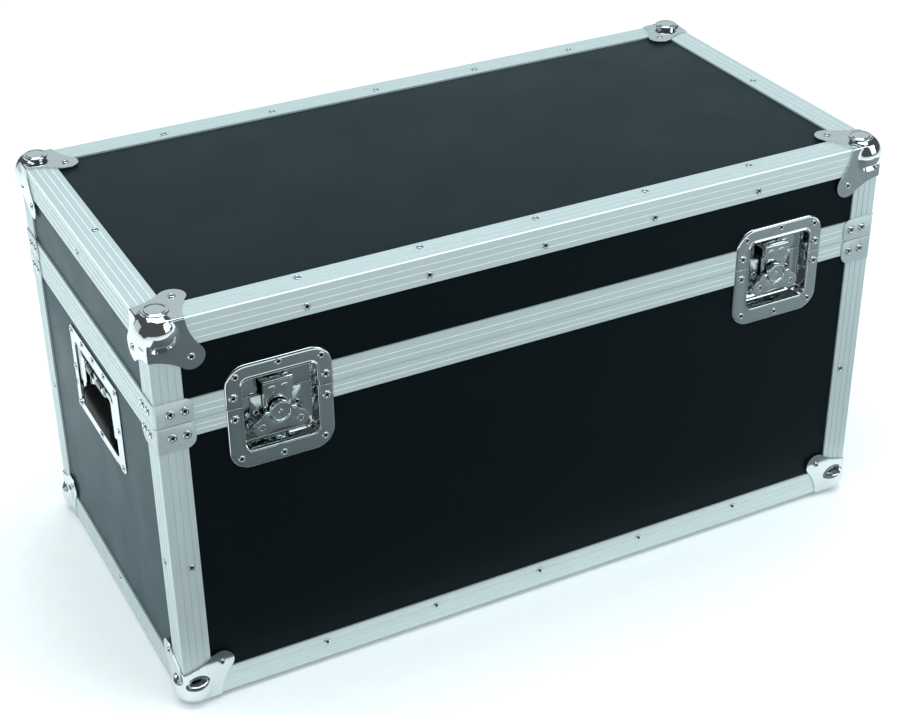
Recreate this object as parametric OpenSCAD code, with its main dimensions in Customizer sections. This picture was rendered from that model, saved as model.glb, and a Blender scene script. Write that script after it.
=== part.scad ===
// Flight case for stage lights: laminated plywood panels held in aluminium edge
// extrusions, steel ball corners, two recessed twist latches on the front, a
// recessed spring handle on each end and a lid hinged along the back.
// Millimetres. +Z up, +X along the long side, front at -Y.
// Origin: centre of the footprint, on the plane the four lower ball corners stand on.

/* [Case] */
// Length over the edge extrusions
case_l = 830; // [690:1:1000]
// Depth over the edge extrusions, front to back
case_w = 413; // [340:1:500]
// Height over the edge extrusions, lid closed
case_h = 446; // [372:1:540]
// Height of the lid, from the parting line to the top
lid_h = 110; // [92:1:132]
// Plywood thickness
ply = 9; // [7.5:0.5:11]

/* [Extrusions] */
// Leg width of the edge angle
edge_leg = 30; // [25:0.5:34]
// Wall thickness of all extrusions
edge_t = 2; // [1.7:0.1:2.4]
// Height of the closing rail on the base
base_rail_h = 17.5; // [15:0.5:21]
// Height of the closing rail on the lid
lid_rail_h = 23; // [19:0.5:28]

/* [Latches] */
// Distance between the two latch centres
latch_gap = 580; // [484:1:620]
// Width of a latch dish
dish_w = 110; // [104:1:120]
// Turn axis of the wing below the parting line
hub_drop = 17; // [15:0.5:17.5]

/* [Handles] */
// Width of a handle plate
handle_w = 158; // [150:1:190]
// Height of a handle plate
handle_h = 103; // [99:1:123]
// Top edge of a handle plate below the parting line
handle_top = 29; // [24:0.5:72]

/* [Corners] */
// Radius of the steel ball at each corner
ball_r = 22; // [20:0.5:24]
// Radius of the stacking disc on each ball
disc_r = 11; // [9:0.5:12]

/* [Foam] */
// Thickness of the foam lining in the base
foam_t = 22; // [19:1:30]

/* [Hidden] */
$fn = 48;
foot = 6.5;
gap = 0.2;
plate_t = 1.5;
base_web = 5;
lid_web = 1.5;
z0 = foot;
zt = foot + case_h;
zp = zt - lid_h;
in = edge_t + ply;
handle_z = zp - handle_top - handle_h / 2;
panel_top = zp - gap - base_web;
lid_low = zp + gap + lid_web;
rivet_in = 20.5 * edge_leg / 30;
rivet_pitch = case_l / 6.46;
ball_in = 14;
latch_x = latch_gap / 2;
rim_t = 1.2;
pan_d = 15;
floor_y = -case_w / 2 - rim_t + pan_d;
hz = -hub_drop;
op_w = 38.5;
op_lo = -51.5;
op_hi = 28;
dish_lo = -71;
dish_hi = 45;
hub_r = 11.3;
draw_z = 3;
draw_y = 3.2;
pull_b = 24;
pull_c = -3;
pull_l = 45;
loop_a = 50;
hinge_y = case_w / 2 + 4.1;
hinge_x = case_l * 0.313;
hinge_w = 62;

// ---------- shared shapes ----------

module rrect(x0, y0, x1, y1, r) {
  translate([x0 + r, y0]) square([x1 - x0 - 2 * r, y1 - y0]);
  translate([x0, y0 + r]) square([x1 - x0, y1 - y0 - 2 * r]);
  for (x = [x0 + r, x1 - r], y = [y0 + r, y1 - r]) translate([x, y]) circle(r = r);
}

module slab(x0, x1, y0, y1, z_lo, z_hi) {
  translate([x0, y0, z_lo]) cube([x1 - x0, y1 - y0, z_hi - z_lo]);
}

// Copies what is built at the front left corner to all four.
module four_corners() {
  for (mx = [0, 1], my = [0, 1])
    mirror([mx, 0, 0]) mirror([0, my, 0]) translate([-case_l / 2, -case_w / 2, 0]) children();
}

module two_ends() {
  for (m = [0, 1]) mirror([m, 0, 0]) children();
}

module front_and_back() {
  for (m = [0, 1]) mirror([0, m, 0]) children();
}

// Turns what is built for the bottom of the case over onto the top.
module on_top() {
  translate([0, 0, zt + z0]) mirror([0, 0, 1]) children();
}

// Latch frame: x along the case, y up from the parting line, z out from the pan floor.
module at_latch(side) {
  translate([side * latch_x, floor_y, zp]) rotate([90, 0, 0]) children();
}

// Handle frame on the left end: y up from the plate centre, z out from the panel face.
module at_handle(side) {
  mirror([side > 0 ? 1 : 0, 0, 0])
    translate([-case_l / 2 + edge_t, 0, handle_z]) rotate([90, 0, -90]) children();
}

// Small domed rivet head, standing on z = 0.
module small_rivet() {
  rotate_extrude() polygon([[0, 0], [3.2, 0], [3.2, 0.35], [2.7, 0.8], [1.7, 1.15], [0.9, 1.25],
    [0.9, 0.7], [0, 0.7]]);
}

// Large domed rivet head with an open centre, standing on z = 0.
module dome_rivet() {
  rotate_extrude() polygon([[0, 0], [4.8, 0], [4.8, 0.4], [4.3, 1.1], [3.3, 1.6], [2.2, 1.8],
    [1.4, 1.6], [1.3, 0.6], [0, 0.6]]);
}

// ---------- panels ----------

module latch_holes() {
  for (s = [-1, 1]) at_latch(s) translate([0, 0, -10])
    linear_extrude(height = 40) rrect(-op_w - 2, op_lo - 2, op_w + 2, op_hi + 2, 8);
}

module handle_hole(side) {
  at_handle(side) translate([0, 0, -20])
    linear_extrude(height = 40)
      rrect(-handle_w / 2 + 13, -handle_h / 2 + 12, handle_w / 2 - 13, handle_h / 2 - 12, 9);
}

module base_floor() {
  color([0.1, 0.1, 0.11])
    slab(-case_l / 2 + in, case_l / 2 - in, -case_w / 2 + in, case_w / 2 - in, z0 + edge_t, z0 + in);
}

module long_panel(z_lo, z_hi) {
  slab(-case_l / 2 + edge_t, case_l / 2 - edge_t, -case_w / 2 + edge_t, -case_w / 2 + in, z_lo, z_hi);
}

module end_panel(z_lo, z_hi) {
  slab(-case_l / 2 + edge_t, -case_l / 2 + in, -case_w / 2 + in, case_w / 2 - in, z_lo, z_hi);
}

module base_front_panel() {
  color([0.1, 0.1, 0.11]) difference() {
    long_panel(z0 + edge_t, panel_top);
    latch_holes();
  }
}

module base_back_panel() {
  color([0.1, 0.1, 0.11]) mirror([0, 1, 0]) long_panel(z0 + edge_t, panel_top);
}

module base_left_panel() {
  color([0.1, 0.1, 0.11]) difference() {
    end_panel(z0 + edge_t, panel_top);
    handle_hole(-1);
  }
}

module base_right_panel() {
  color([0.1, 0.1, 0.11]) difference() {
    mirror([1, 0, 0]) end_panel(z0 + edge_t, panel_top);
    handle_hole(1);
  }
}

module lid_top_panel() {
  color([0.1, 0.1, 0.11])
    slab(-case_l / 2 + in, case_l / 2 - in, -case_w / 2 + in, case_w / 2 - in, zt - in, zt - edge_t);
}

module lid_front_panel() {
  color([0.1, 0.1, 0.11]) difference() {
    long_panel(lid_low, zt - edge_t);
    latch_holes();
  }
}

module lid_back_panel() {
  color([0.1, 0.1, 0.11]) mirror([0, 1, 0]) long_panel(lid_low, zt - edge_t);
}

module lid_left_panel() {
  color([0.1, 0.1, 0.11]) end_panel(lid_low, zt - edge_t);
}

module lid_right_panel() {
  color([0.1, 0.1, 0.11]) mirror([1, 0, 0]) end_panel(lid_low, zt - edge_t);
}

// ---------- edge extrusions ----------

// Angle section: outer faces on both axes, three fine grooves on each leg.
module angle_section() {
  difference() {
    union() {
      square([edge_leg, edge_t]);
      square([edge_t, edge_leg]);
    }
    for (g = [9, 16.3, 23.7]) {
      translate([g * edge_leg / 30 - 0.5, -1]) square([1, 1.4]);
      translate([-1, g * edge_leg / 30 - 0.5]) square([1.4, 1]);
    }
    difference() {
      translate([-1, -1]) square([2.2, 2.2]);
      translate([1.2, 1.2]) circle(r = 1.2);
    }
  }
}

module long_edges() {
  front_and_back() translate([0, -case_w / 2, z0]) rotate([90, 0, 90])
    linear_extrude(height = case_l - 2 * edge_leg - 0.6, center = true) angle_section();
}

module short_edges() {
  two_ends() translate([-case_l / 2, 0, z0]) rotate([90, 0, 0])
    linear_extrude(height = case_w - 2 * edge_leg - 0.6, center = true) angle_section();
}

module base_long_edges() {
  color([0.78, 0.79, 0.8]) long_edges();
}

module base_short_edges() {
  color([0.78, 0.79, 0.8]) short_edges();
}

module lid_long_edges() {
  color([0.78, 0.79, 0.8]) on_top() long_edges();
}

module lid_short_edges() {
  color([0.78, 0.79, 0.8]) on_top() short_edges();
}

module base_corner_posts() {
  color([0.78, 0.79, 0.8]) four_corners() translate([0, 0, z0 + edge_leg + 0.3])
    linear_extrude(height = zp - gap - z0 - edge_leg - 0.3) angle_section();
}

module lid_corner_posts() {
  color([0.78, 0.79, 0.8]) four_corners() translate([0, 0, zp + gap])
    linear_extrude(height = zt - edge_leg - 0.3 - zp - gap) angle_section();
}

// ---------- closing rails ----------

// Plan of one side of a frame that runs round the case, mitred at the corners.
module mitred(len, wid, o1, o2) {
  polygon([[-len / 2 + o1, -wid / 2 + o1], [len / 2 - o1, -wid / 2 + o1],
    [len / 2 - o2, -wid / 2 + o2], [-len / 2 + o2, -wid / 2 + o2]]);
}

module rail_bar(len, wid, o1, o2, z_lo, z_hi) {
  translate([0, 0, z_lo]) linear_extrude(height = z_hi - z_lo) mitred(len, wid, o1, o2);
}

// Base half: outer leg, web with a groove in it, short inner leg. z = 0 is the parting line.
module base_rail(len, wid) {
  h = len / 2 - edge_leg - 0.3;
  difference() {
    union() {
      slab(-h, h, -wid / 2, -wid / 2 + edge_t, -base_rail_h, -gap);
      slab(-h, h, -wid / 2 + edge_t - 0.5, -wid / 2 + edge_t + 1, -gap - base_web, -gap);
      rail_bar(len, wid, edge_t, in + 1.5, -gap - base_web, -gap);
      rail_bar(len, wid, in, in + 1.5, -12, -gap);
    }
    rail_bar(len, wid, edge_t + ply / 2 - 3, edge_t + ply / 2 + 3, -gap - 3.5, 1);
    for (g = [0.36, 0.68])
      slab(-h - 1, h + 1, -wid / 2 - 1, -wid / 2 + 0.4, -base_rail_h * g - 0.5, -base_rail_h * g + 0.5);
  }
}

// Lid half: outer leg, web with a tongue under it, short inner leg.
module lid_rail(len, wid) {
  h = len / 2 - edge_leg - 0.3;
  difference() {
    union() {
      slab(-h, h, -wid / 2, -wid / 2 + edge_t, gap, lid_rail_h);
      slab(-h, h, -wid / 2 + edge_t - 0.5, -wid / 2 + edge_t + 1, gap, gap + lid_web);
      rail_bar(len, wid, edge_t, in + 1.5, gap, gap + lid_web);
      rail_bar(len, wid, in, in + 1.5, gap, 12);
      rail_bar(len, wid, edge_t + ply / 2 - 1.8, edge_t + ply / 2 + 1.8, -2.8, gap + 0.5);
    }
    for (g = [0.3, 0.6])
      slab(-h - 1, h + 1, -wid / 2 - 1, -wid / 2 + 0.4, lid_rail_h * g - 0.5, lid_rail_h * g + 0.5);
  }
}

module latch_gaps() {
  for (s = [-1, 1])
    slab(s * latch_x - dish_w / 2 - 0.2, s * latch_x + dish_w / 2 + 0.2,
      -case_w / 2 - 2, -case_w / 2 + in + 4, zp - 40, zp + 40);
}

module base_front_closing_rail() {
  color([0.78, 0.79, 0.8]) difference() {
    translate([0, 0, zp]) base_rail(case_l, case_w);
    latch_gaps();
  }
}

module base_back_closing_rail() {
  color([0.78, 0.79, 0.8]) mirror([0, 1, 0]) translate([0, 0, zp]) base_rail(case_l, case_w);
}

module base_end_closing_rails() {
  color([0.78, 0.79, 0.8]) two_ends() translate([0, 0, zp]) rotate([0, 0, -90]) base_rail(case_w, case_l);
}

module lid_front_closing_rail() {
  color([0.78, 0.79, 0.8]) difference() {
    translate([0, 0, zp]) lid_rail(case_l, case_w);
    latch_gaps();
  }
}

module lid_back_closing_rail() {
  color([0.78, 0.79, 0.8]) mirror([0, 1, 0]) translate([0, 0, zp]) lid_rail(case_l, case_w);
}

module lid_end_closing_rails() {
  color([0.78, 0.79, 0.8]) two_ends() translate([0, 0, zp]) rotate([0, 0, -90]) lid_rail(case_w, case_l);
}

// ---------- ball corners ----------

// Outline of one face of a ball corner: hollow sides and a round tab on the diagonal.
module corner_face() {
  difference() {
    union() {
      polygon([[-plate_t, -plate_t], [50, -plate_t], [50, 0], [54.3, 38], [38, 54.3], [0, 50],
        [-plate_t, 50]]);
      translate([41, 41]) circle(r = 13.5);
    }
    translate([95.8, -5]) circle(r = 58, $fn = 96);
    translate([-5, 95.8]) circle(r = 58, $fn = 96);
  }
}

// Face plate lying on the extrusions, stepped down to the panel under its tab.
module corner_plate() {
  translate([0, 0, -plate_t]) linear_extrude(height = plate_t) corner_face();
  translate([0, 0, -0.5]) linear_extrude(height = edge_t + 0.5) intersection() {
    corner_face();
    translate([edge_leg + 0.4, edge_leg + 0.4]) square(40);
  }
}

// Eye-shaped opening beside the ball, on the two upright faces.
module eye_hole() {
  translate([13, 24, -ball_r]) linear_extrude(height = 2 * ball_r) intersection() {
    translate([0, 11.2]) circle(r = 15.7);
    translate([0, -11.2]) circle(r = 15.7);
  }
}

// Lower corner with its three outer planes on the origin, material on the negative side.
module ball_corner() {
  difference() {
    union() {
      corner_plate();
      rotate([90, 0, 90]) corner_plate();
      mirror([1, -1, 0]) rotate([90, 0, 90]) corner_plate();
      difference() {
        translate([ball_in, ball_in, ball_in]) sphere(r = ball_r, $fn = 64);
        cube(60);
        translate([-30, -30, -60 - 5.3]) cube([90, 90, 60]);
      }
      translate([16, 16, -5.3]) cylinder(h = 2.3, r = disc_r + 2.5);
      translate([16, 16, -foot]) cylinder(h = foot - 3, r = disc_r);
    }
    difference() {
      translate([ball_in, ball_in, ball_in]) sphere(r = ball_r - 1.7, $fn = 64);
      translate([-30, -30, -60 - 3.8]) cube([90, 90, 60]);
    }
    rotate([90, 0, 90]) eye_hole();
    mirror([1, -1, 0]) rotate([90, 0, 90]) eye_hole();
  }
}

module base_ball_corners() {
  color([0.75, 0.76, 0.78]) four_corners() translate([0, 0, z0]) ball_corner();
}

module lid_ball_corners() {
  color([0.75, 0.76, 0.78]) on_top() four_corners() translate([0, 0, z0]) ball_corner();
}

// ---------- corner braces at the parting line ----------

module brace_leg(h, r_in, r_out) {
  difference() {
    square([39, h]);
    translate([39 - r_in, 0]) difference() {
      translate([0, -1]) square([r_in + 1, r_in + 1]);
      translate([0, r_in]) circle(r = r_in);
    }
    translate([39 - r_out, h - r_out]) difference() {
      square(r_out + 1);
      circle(r = r_out);
    }
  }
}

// Wrap-round plate; its lower edge is on z = 0 and it grows upward.
module brace(h, r_in, r_out) {
  translate([0, 0, 0]) rotate([90, 0, 0]) linear_extrude(height = plate_t) brace_leg(h, r_in, r_out);
  translate([-plate_t, 0, 0]) rotate([90, 0, 90]) linear_extrude(height = plate_t)
    brace_leg(h, r_in, r_out);
  difference() {
    translate([-plate_t, -plate_t, 0]) cube([plate_t + 0.6, plate_t + 0.6, h]);
    cube([5, 5, 3 * h], center = false);
  }
}

module lid_corner_braces() {
  color([0.7, 0.71, 0.73]) four_corners() translate([0, 0, zp + 0.3]) brace(25.7, 5, 9);
}

module base_corner_braces() {
  color([0.7, 0.71, 0.73]) four_corners() translate([0, 0, zp - 0.3]) mirror([0, 0, 1])
    brace(28.2, 5, 11);
}

// ---------- rivets ----------

// Rivets of one long lower edge, on its upright leg and on its flat leg.
module long_edge_rivets() {
  for (i = [-2 : 2]) {
    translate([i * rivet_pitch, -case_w / 2, z0 + rivet_in]) rotate([90, 0, 0]) small_rivet();
    translate([i * rivet_pitch, -case_w / 2 + rivet_in, z0]) mirror([0, 0, 1]) small_rivet();
  }
}

module short_edge_rivets() {
  translate([-case_l / 2, 0, z0 + rivet_in]) rotate([0, -90, 0]) small_rivet();
  translate([-case_l / 2 + rivet_in, 0, z0]) mirror([0, 0, 1]) small_rivet();
}

module ball_rivets() {
  translate([41, 41, z0 - plate_t]) mirror([0, 0, 1]) small_rivet();
  translate([41, -plate_t, z0 + 41]) rotate([90, 0, 0]) small_rivet();
  translate([-plate_t, 41, z0 + 41]) rotate([0, -90, 0]) small_rivet();
}

module half_rivets() {
  front_and_back() long_edge_rivets();
  two_ends() short_edge_rivets();
  four_corners() ball_rivets();
}

// Flush row along the lower rim of a latch dish.
module dish_rivets(lower) {
  y_side = lower ? -58 : 34;
  y_mid = lower ? -63.5 : 39.5;
  for (s = [-1, 1]) at_latch(s) {
    for (x = [-44, 44]) translate([x, y_side, pan_d]) small_rivet();
    translate([0, y_mid, pan_d]) small_rivet();
  }
}

module base_small_rivets() {
  color([0.72, 0.73, 0.75]) {
    half_rivets();
    four_corners() {
      translate([rivet_in, 0, (z0 + zp) / 2]) rotate([90, 0, 0]) small_rivet();
      translate([0, rivet_in, (z0 + zp) / 2]) rotate([0, -90, 0]) small_rivet();
    }
    dish_rivets(true);
    for (s = [-1, 1]) {
      at_latch(s) for (x = [-21, 21]) translate([x, hz - 2, plate_t]) small_rivet();
      at_handle(s) {
        for (i = [-2 : 2]) translate([i * (handle_w / 4 - 3.75), handle_h / 2 - 6.2, plate_t]) small_rivet();
        for (i = [-1 : 1]) translate([i * (handle_w / 2 - 7.5), -handle_h / 2 + 6.2, plate_t]) small_rivet();
        for (i = [-1, 1]) translate([i * (handle_w / 2 - 6.5), 0, plate_t]) small_rivet();
      }
    }
  }
}

module lid_small_rivets() {
  color([0.72, 0.73, 0.75]) {
    on_top() half_rivets();
    dish_rivets(false);
    for (s = [-1, 1]) at_latch(s)
      for (x = [-7, 7]) translate([x, 22.5, plate_t]) small_rivet();
  }
}

module brace_rivets(z) {
  four_corners() for (u = [15, 29.5]) {
    translate([u, -plate_t, z]) rotate([90, 0, 0]) dome_rivet();
    translate([-plate_t, u, z]) rotate([0, -90, 0]) dome_rivet();
  }
}

module hinge_rivets(up) {
  for (x = [-1 : 1], i = [-1, 1], z = [14, 31])
    translate([x * hinge_x + i * 21, case_w / 2 + plate_t, zp + up * z]) rotate([-90, 0, 0]) dome_rivet();
}

module base_dome_rivets() {
  color([0.8, 0.81, 0.83]) {
    brace_rivets(zp - 13);
    for (s = [-1, 1]) at_latch(s) for (x = [-47.5, 47.5]) translate([x, -12, pan_d]) dome_rivet();
    hinge_rivets(-1);
  }
}

module lid_dome_rivets() {
  color([0.8, 0.81, 0.83]) {
    brace_rivets(zp + 13);
    for (s = [-1, 1]) at_latch(s) for (x = [-47.5, 47.5]) translate([x, 12, pan_d]) dome_rivet();
    hinge_rivets(1);
  }
}

// ---------- latches ----------

module dish_outline(inset) {
  rrect(-dish_w / 2 + inset, dish_lo + inset, dish_w / 2 - inset, dish_hi - inset, 22 - inset);
}

module dish_opening(out) {
  rrect(-op_w - out, op_lo - out, op_w + out, op_hi + out, 6 + out);
}

module ring_wall(z_lo, z_hi) {
  translate([0, 0, z_lo]) linear_extrude(height = z_hi - z_lo) difference() {
    children(0);
    children(1);
  }
}

// Whole pressed dish: flat rim, skirt down to the panel, raised lip, recess walls and floor.
module whole_dish() {
  ring_wall(pan_d - rim_t, pan_d) {
    dish_outline(0);
    dish_opening(0);
  }
  ring_wall(pan_d - rim_t - edge_t, pan_d - rim_t + 0.3) {
    dish_outline(0);
    dish_outline(1.2);
  }
  ring_wall(pan_d - 0.3, pan_d + 0.9) {
    dish_opening(1.4);
    dish_opening(0);
  }
  ring_wall(-rim_t, pan_d - 0.3) {
    dish_opening(rim_t);
    dish_opening(0);
  }
  translate([0, 0, -rim_t]) linear_extrude(height = rim_t) dish_opening(rim_t);
}

module latch_base_dish(side) {
  color([0.8, 0.81, 0.83]) at_latch(side) difference() {
    whole_dish();
    translate([-100, -gap, -20]) cube([200, 200, 60]);
    translate([0, hz, -5]) cylinder(h = 10, r = 3.6);
  }
}

module latch_lid_dish(side) {
  color([0.8, 0.81, 0.83]) at_latch(side) difference() {
    whole_dish();
    translate([-100, gap - 200, -20]) cube([200, 200, 60]);
  }
}

// Strike plate on the lid: flat on the dish floor with a ledge bent outward.
module latch_keeper(side) {
  color([0.78, 0.79, 0.81]) at_latch(side) {
    slab(-14, 14, 12, 27, 0, 1.5);
    slab(-14, 14, 12, 13.5, 0, 5);
  }
}

// Base plate with the turn bearing and two cheeks whose sloping slots guide the hook.
module latch_frame(side) {
  color([0.7, 0.71, 0.73]) at_latch(side) difference() {
    union() {
      slab(-26, 26, hz - 6.5, -1, 0, plate_t);
      slab(-17.4, 17.4, hz - 17, -1, 0, plate_t);
      for (x = [-16.9, 15.4]) slab(x, x + 1.5, hz - 16, hz - 3.5, 0, 9);
      translate([-27, hz - 17, 0]) cylinder(h = 6.8, r = 3.6);
      slab(-27, -16, hz - 18.5, hz - 15.5, 0, plate_t);
    }
    translate([0, hz, -1]) cylinder(h = 4, r = 3.05);
    for (k = [0, 1]) translate([-20, hz - 8 - k * draw_z, 6.2 - k * draw_y]) rotate([0, 90, 0])
      cylinder(h = 40, r = 1.3);
    translate([0, hz - 8 - draw_z / 2, 6.2 - draw_y / 2]) rotate([atan2(draw_y, draw_z), 0, 0])
      cube([40, sqrt(draw_z * draw_z + draw_y * draw_y), 2.6], center = true);
  }
}

// Coil spring round the post beside the wing.
module latch_spring(side) {
  color([0.6, 0.6, 0.62]) at_latch(side) translate([-27, hz - 17, plate_t + 0.1]) rotate_extrude() {
    for (i = [0 : 2]) translate([5.6, 0.9 + i * 1.6]) circle(r = 0.9, $fn = 24);
    translate([4.4, 0.3]) square([1.2, 4.4]);
  }
}

// Turning hub: journal with a peened head, eccentric disc, barrel and the wing's cross pin.
module latch_hub(side) {
  color([0.82, 0.83, 0.85]) at_latch(side) translate([0, hz, 0]) {
    translate([0, 0, -3]) cylinder(h = 5, r = 3);
    translate([0, 0, -3]) cylinder(h = 1.4, r = 5.2);
    translate([0, draw_z / 2, 1.8]) cylinder(h = 8.2, r = 6);
    difference() {
      translate([0, 0, 9.6]) cylinder(h = 6, r = hub_r);
      translate([0, 0, 14.2]) cylinder(h = 3, r = hub_r - 2.2);
    }
    translate([0, 0, 14]) cylinder(h = 0.9, r = 2.6);
    for (s = [-1, 1]) translate([s * (hub_r + 1.8), 0, 12]) rotate([0, 90, 0])
      cylinder(h = 7, r = 1.2, center = true);
  }
}

// Butterfly wing: two ears with a hole each, hinged on the hub's cross pin.
module latch_wing(side) {
  color([0.8, 0.81, 0.83]) at_latch(side) translate([0, hz, 0]) difference() {
    union() {
      translate([0, 0, 11]) linear_extrude(height = 2) difference() {
        union() {
          for (x = [-20, 20]) translate([x, -14]) circle(r = 9);
          polygon([[-16.2, 0], [-26, -7.3], [-22, -22.7], [22, -22.7], [26, -7.3], [16.2, 0]]);
        }
        circle(r = hub_r + 1.1);
        translate([0, -47]) circle(r = 26, $fn = 96);
        for (x = [-20, 20]) translate([x, -14]) circle(r = 2.4);
      }
      for (x = [11.8, -16.2]) translate([x, 0, 12]) rotate([0, 90, 0]) cylinder(h = 4.4, r = 2.4);
    }
    for (x = [11.4, -16.6]) translate([x, 0, 12]) rotate([0, 90, 0]) cylinder(h = 5.2, r = 1.26);
  }
}

// Hook plate: slotted for the eccentric, stepped outward, with a lip folded over the ledge.
module latch_hook(side) {
  color([0.76, 0.77, 0.79]) at_latch(side) translate([0, hz, 0]) {
    difference() {
      slab(-15, 15, -12, 19, 5.2, 7.2);
      slab(-7.8, 7.8, draw_z / 2 - 6.5, draw_z / 2 + 6.5, 4, 9);
    }
    slab(-15, 15, 17, 19, 5.2, 10.5);
    slab(-15, 15, 17, 36, 8.5, 10.5);
    slab(-15, 15, 34, 36, 5.5, 10.5);
    for (s = [-1, 1]) translate([s * 15.7, -8, 6.2]) rotate([0, 90, 0])
      cylinder(h = 3.4, r = 1.2, center = true);
  }
}

module left_latch_base_dish() { latch_base_dish(-1); }
module left_latch_lid_dish() { latch_lid_dish(-1); }
module left_latch_keeper() { latch_keeper(-1); }
module left_latch_frame() { latch_frame(-1); }
module left_latch_spring() { latch_spring(-1); }
module left_latch_hub() { latch_hub(-1); }
module left_latch_wing() { latch_wing(-1); }
module left_latch_hook() { latch_hook(-1); }
module right_latch_base_dish() { latch_base_dish(1); }
module right_latch_lid_dish() { latch_lid_dish(1); }
module right_latch_keeper() { latch_keeper(1); }
module right_latch_frame() { latch_frame(1); }
module right_latch_spring() { latch_spring(1); }
module right_latch_hub() { latch_hub(1); }
module right_latch_wing() { latch_wing(1); }
module right_latch_hook() { latch_hook(1); }

// ---------- handles ----------

module pull_outline(inset) {
  rrect(-handle_w / 2 + inset, -handle_h / 2 + inset, handle_w / 2 - inset, handle_h / 2 - inset, 6);
}

module pull_opening(out) {
  rrect(-handle_w / 2 + 15 - out, -handle_h / 2 + 14 - out, handle_w / 2 - 15 + out,
    handle_h / 2 - 14 + out, 7 + out);
}

// Flanged dish with two bearing lugs for the loop's top bar.
module handle_dish(side) {
  color([0.8, 0.81, 0.83]) at_handle(side) difference() {
    union() {
      ring_wall(0, plate_t) {
        pull_outline(0);
        pull_opening(0);
      }
      ring_wall(plate_t - 0.3, plate_t + 0.9) {
        pull_opening(1.4);
        pull_opening(0);
      }
      ring_wall(-14.2, 0.3) {
        pull_opening(1.2);
        pull_opening(0);
      }
      translate([0, 0, -14.2]) linear_extrude(height = 1.2) pull_opening(1.2);
      for (a = [-33, 27]) {
        slab(a, a + 6, pull_b - 6.5, pull_b + 6.5, -13.2, pull_c);
        translate([a, pull_b, pull_c]) rotate([0, 90, 0]) cylinder(h = 6, r = 6.5);
      }
    }
    translate([-40, pull_b, pull_c]) rotate([0, 90, 0]) cylinder(h = 80, r = 4.06);
  }
}

// Closed loop of round bar that swings on its top side.
module handle_loop(side) {
  color([0.8, 0.81, 0.83]) at_handle(side) translate([0, pull_b, pull_c]) {
    for (b = [0, -pull_l]) translate([-loop_a, b, 0]) rotate([0, 90, 0]) cylinder(h = 2 * loop_a, r = 4);
    for (a = [-loop_a, loop_a]) {
      translate([a, 0, 0]) rotate([90, 0, 0]) cylinder(h = pull_l, r = 4);
      for (b = [0, -pull_l]) translate([a, b, 0]) sphere(r = 4);
    }
  }
}

// Rubber grip round the lower bar.
module handle_grip(side) {
  color([0.07, 0.07, 0.07]) at_handle(side)
    translate([-loop_a + 4.4, pull_b - pull_l, pull_c]) rotate([0, 90, 0])
      linear_extrude(height = 2 * loop_a - 8.8) difference() {
        rrect(-9, -13, 9, 13, 7);
        circle(r = 4.05);
      }
}

// Torsion coils round the top bar, one each side of the middle.
module handle_springs(side) {
  color([0.6, 0.6, 0.62]) at_handle(side) for (a = [-1, 1])
    translate([a * 16, pull_b, pull_c]) rotate([0, 90, 0]) rotate_extrude() {
      for (i = [-4 : 4]) translate([5.7, i * 1.9]) circle(r = 1, $fn = 24);
      translate([4.7, -7.8]) square([1, 15.6]);
    }
}

module left_handle_dish() { handle_dish(-1); }
module left_handle_loop() { handle_loop(-1); }
module left_handle_grip() { handle_grip(-1); }
module left_handle_springs() { handle_springs(-1); }
module right_handle_dish() { handle_dish(1); }
module right_handle_loop() { handle_loop(1); }
module right_handle_grip() { handle_grip(1); }
module right_handle_springs() { handle_springs(1); }

// ---------- hinges on the back ----------

// One leaf; the knuckles it carries are listed as [centre, length] along x.
module hinge_leaf(up, own, other) {
  difference() {
    union() {
      slab(-hinge_w / 2, hinge_w / 2, case_w / 2, case_w / 2 + plate_t, zp + (up > 0 ? 0.3 : -42),
        zp + (up > 0 ? 42 : -0.3));
      for (k = own) translate([k[0], hinge_y, zp]) rotate([0, 90, 0])
        cylinder(h = k[1], r = 3.8, center = true);
    }
    for (k = other) slab(k[0] - k[1] / 2 - 0.4, k[0] + k[1] / 2 + 0.4, case_w / 2 - 1, case_w / 2 + 9,
      zp - 4.4, zp + 4.4);
    translate([-50, hinge_y, zp]) rotate([0, 90, 0]) cylinder(h = 100, r = 2.05);
  }
}

module hinge_base_leaves() {
  color([0.75, 0.76, 0.78]) for (x = [-1 : 1]) translate([x * hinge_x, 0, 0])
    hinge_leaf(-1, [[-23, 16], [23, 16]], [[0, 29.2]]);
}

module hinge_lid_leaves() {
  color([0.75, 0.76, 0.78]) for (x = [-1 : 1]) translate([x * hinge_x, 0, 0])
    hinge_leaf(1, [[0, 29.2]], [[-23, 16], [23, 16]]);
}

module hinge_pins() {
  color([0.7, 0.71, 0.73]) for (x = [-1 : 1]) translate([x * hinge_x, hinge_y, zp]) rotate([0, 90, 0]) {
    cylinder(h = hinge_w + 1, r = 2, center = true);
    for (s = [-1, 1]) translate([0, 0, s * (hinge_w / 2 + 0.9)]) cylinder(h = 1.2, r = 3, center = true);
  }
}

// ---------- foam ----------

module latch_pockets() {
  for (s = [-1, 1]) slab(s * latch_x - op_w - 5, s * latch_x + op_w + 5, -case_w / 2, -case_w / 2 + 20,
    zp + op_lo - 5, zp + op_hi + 5);
}

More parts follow.
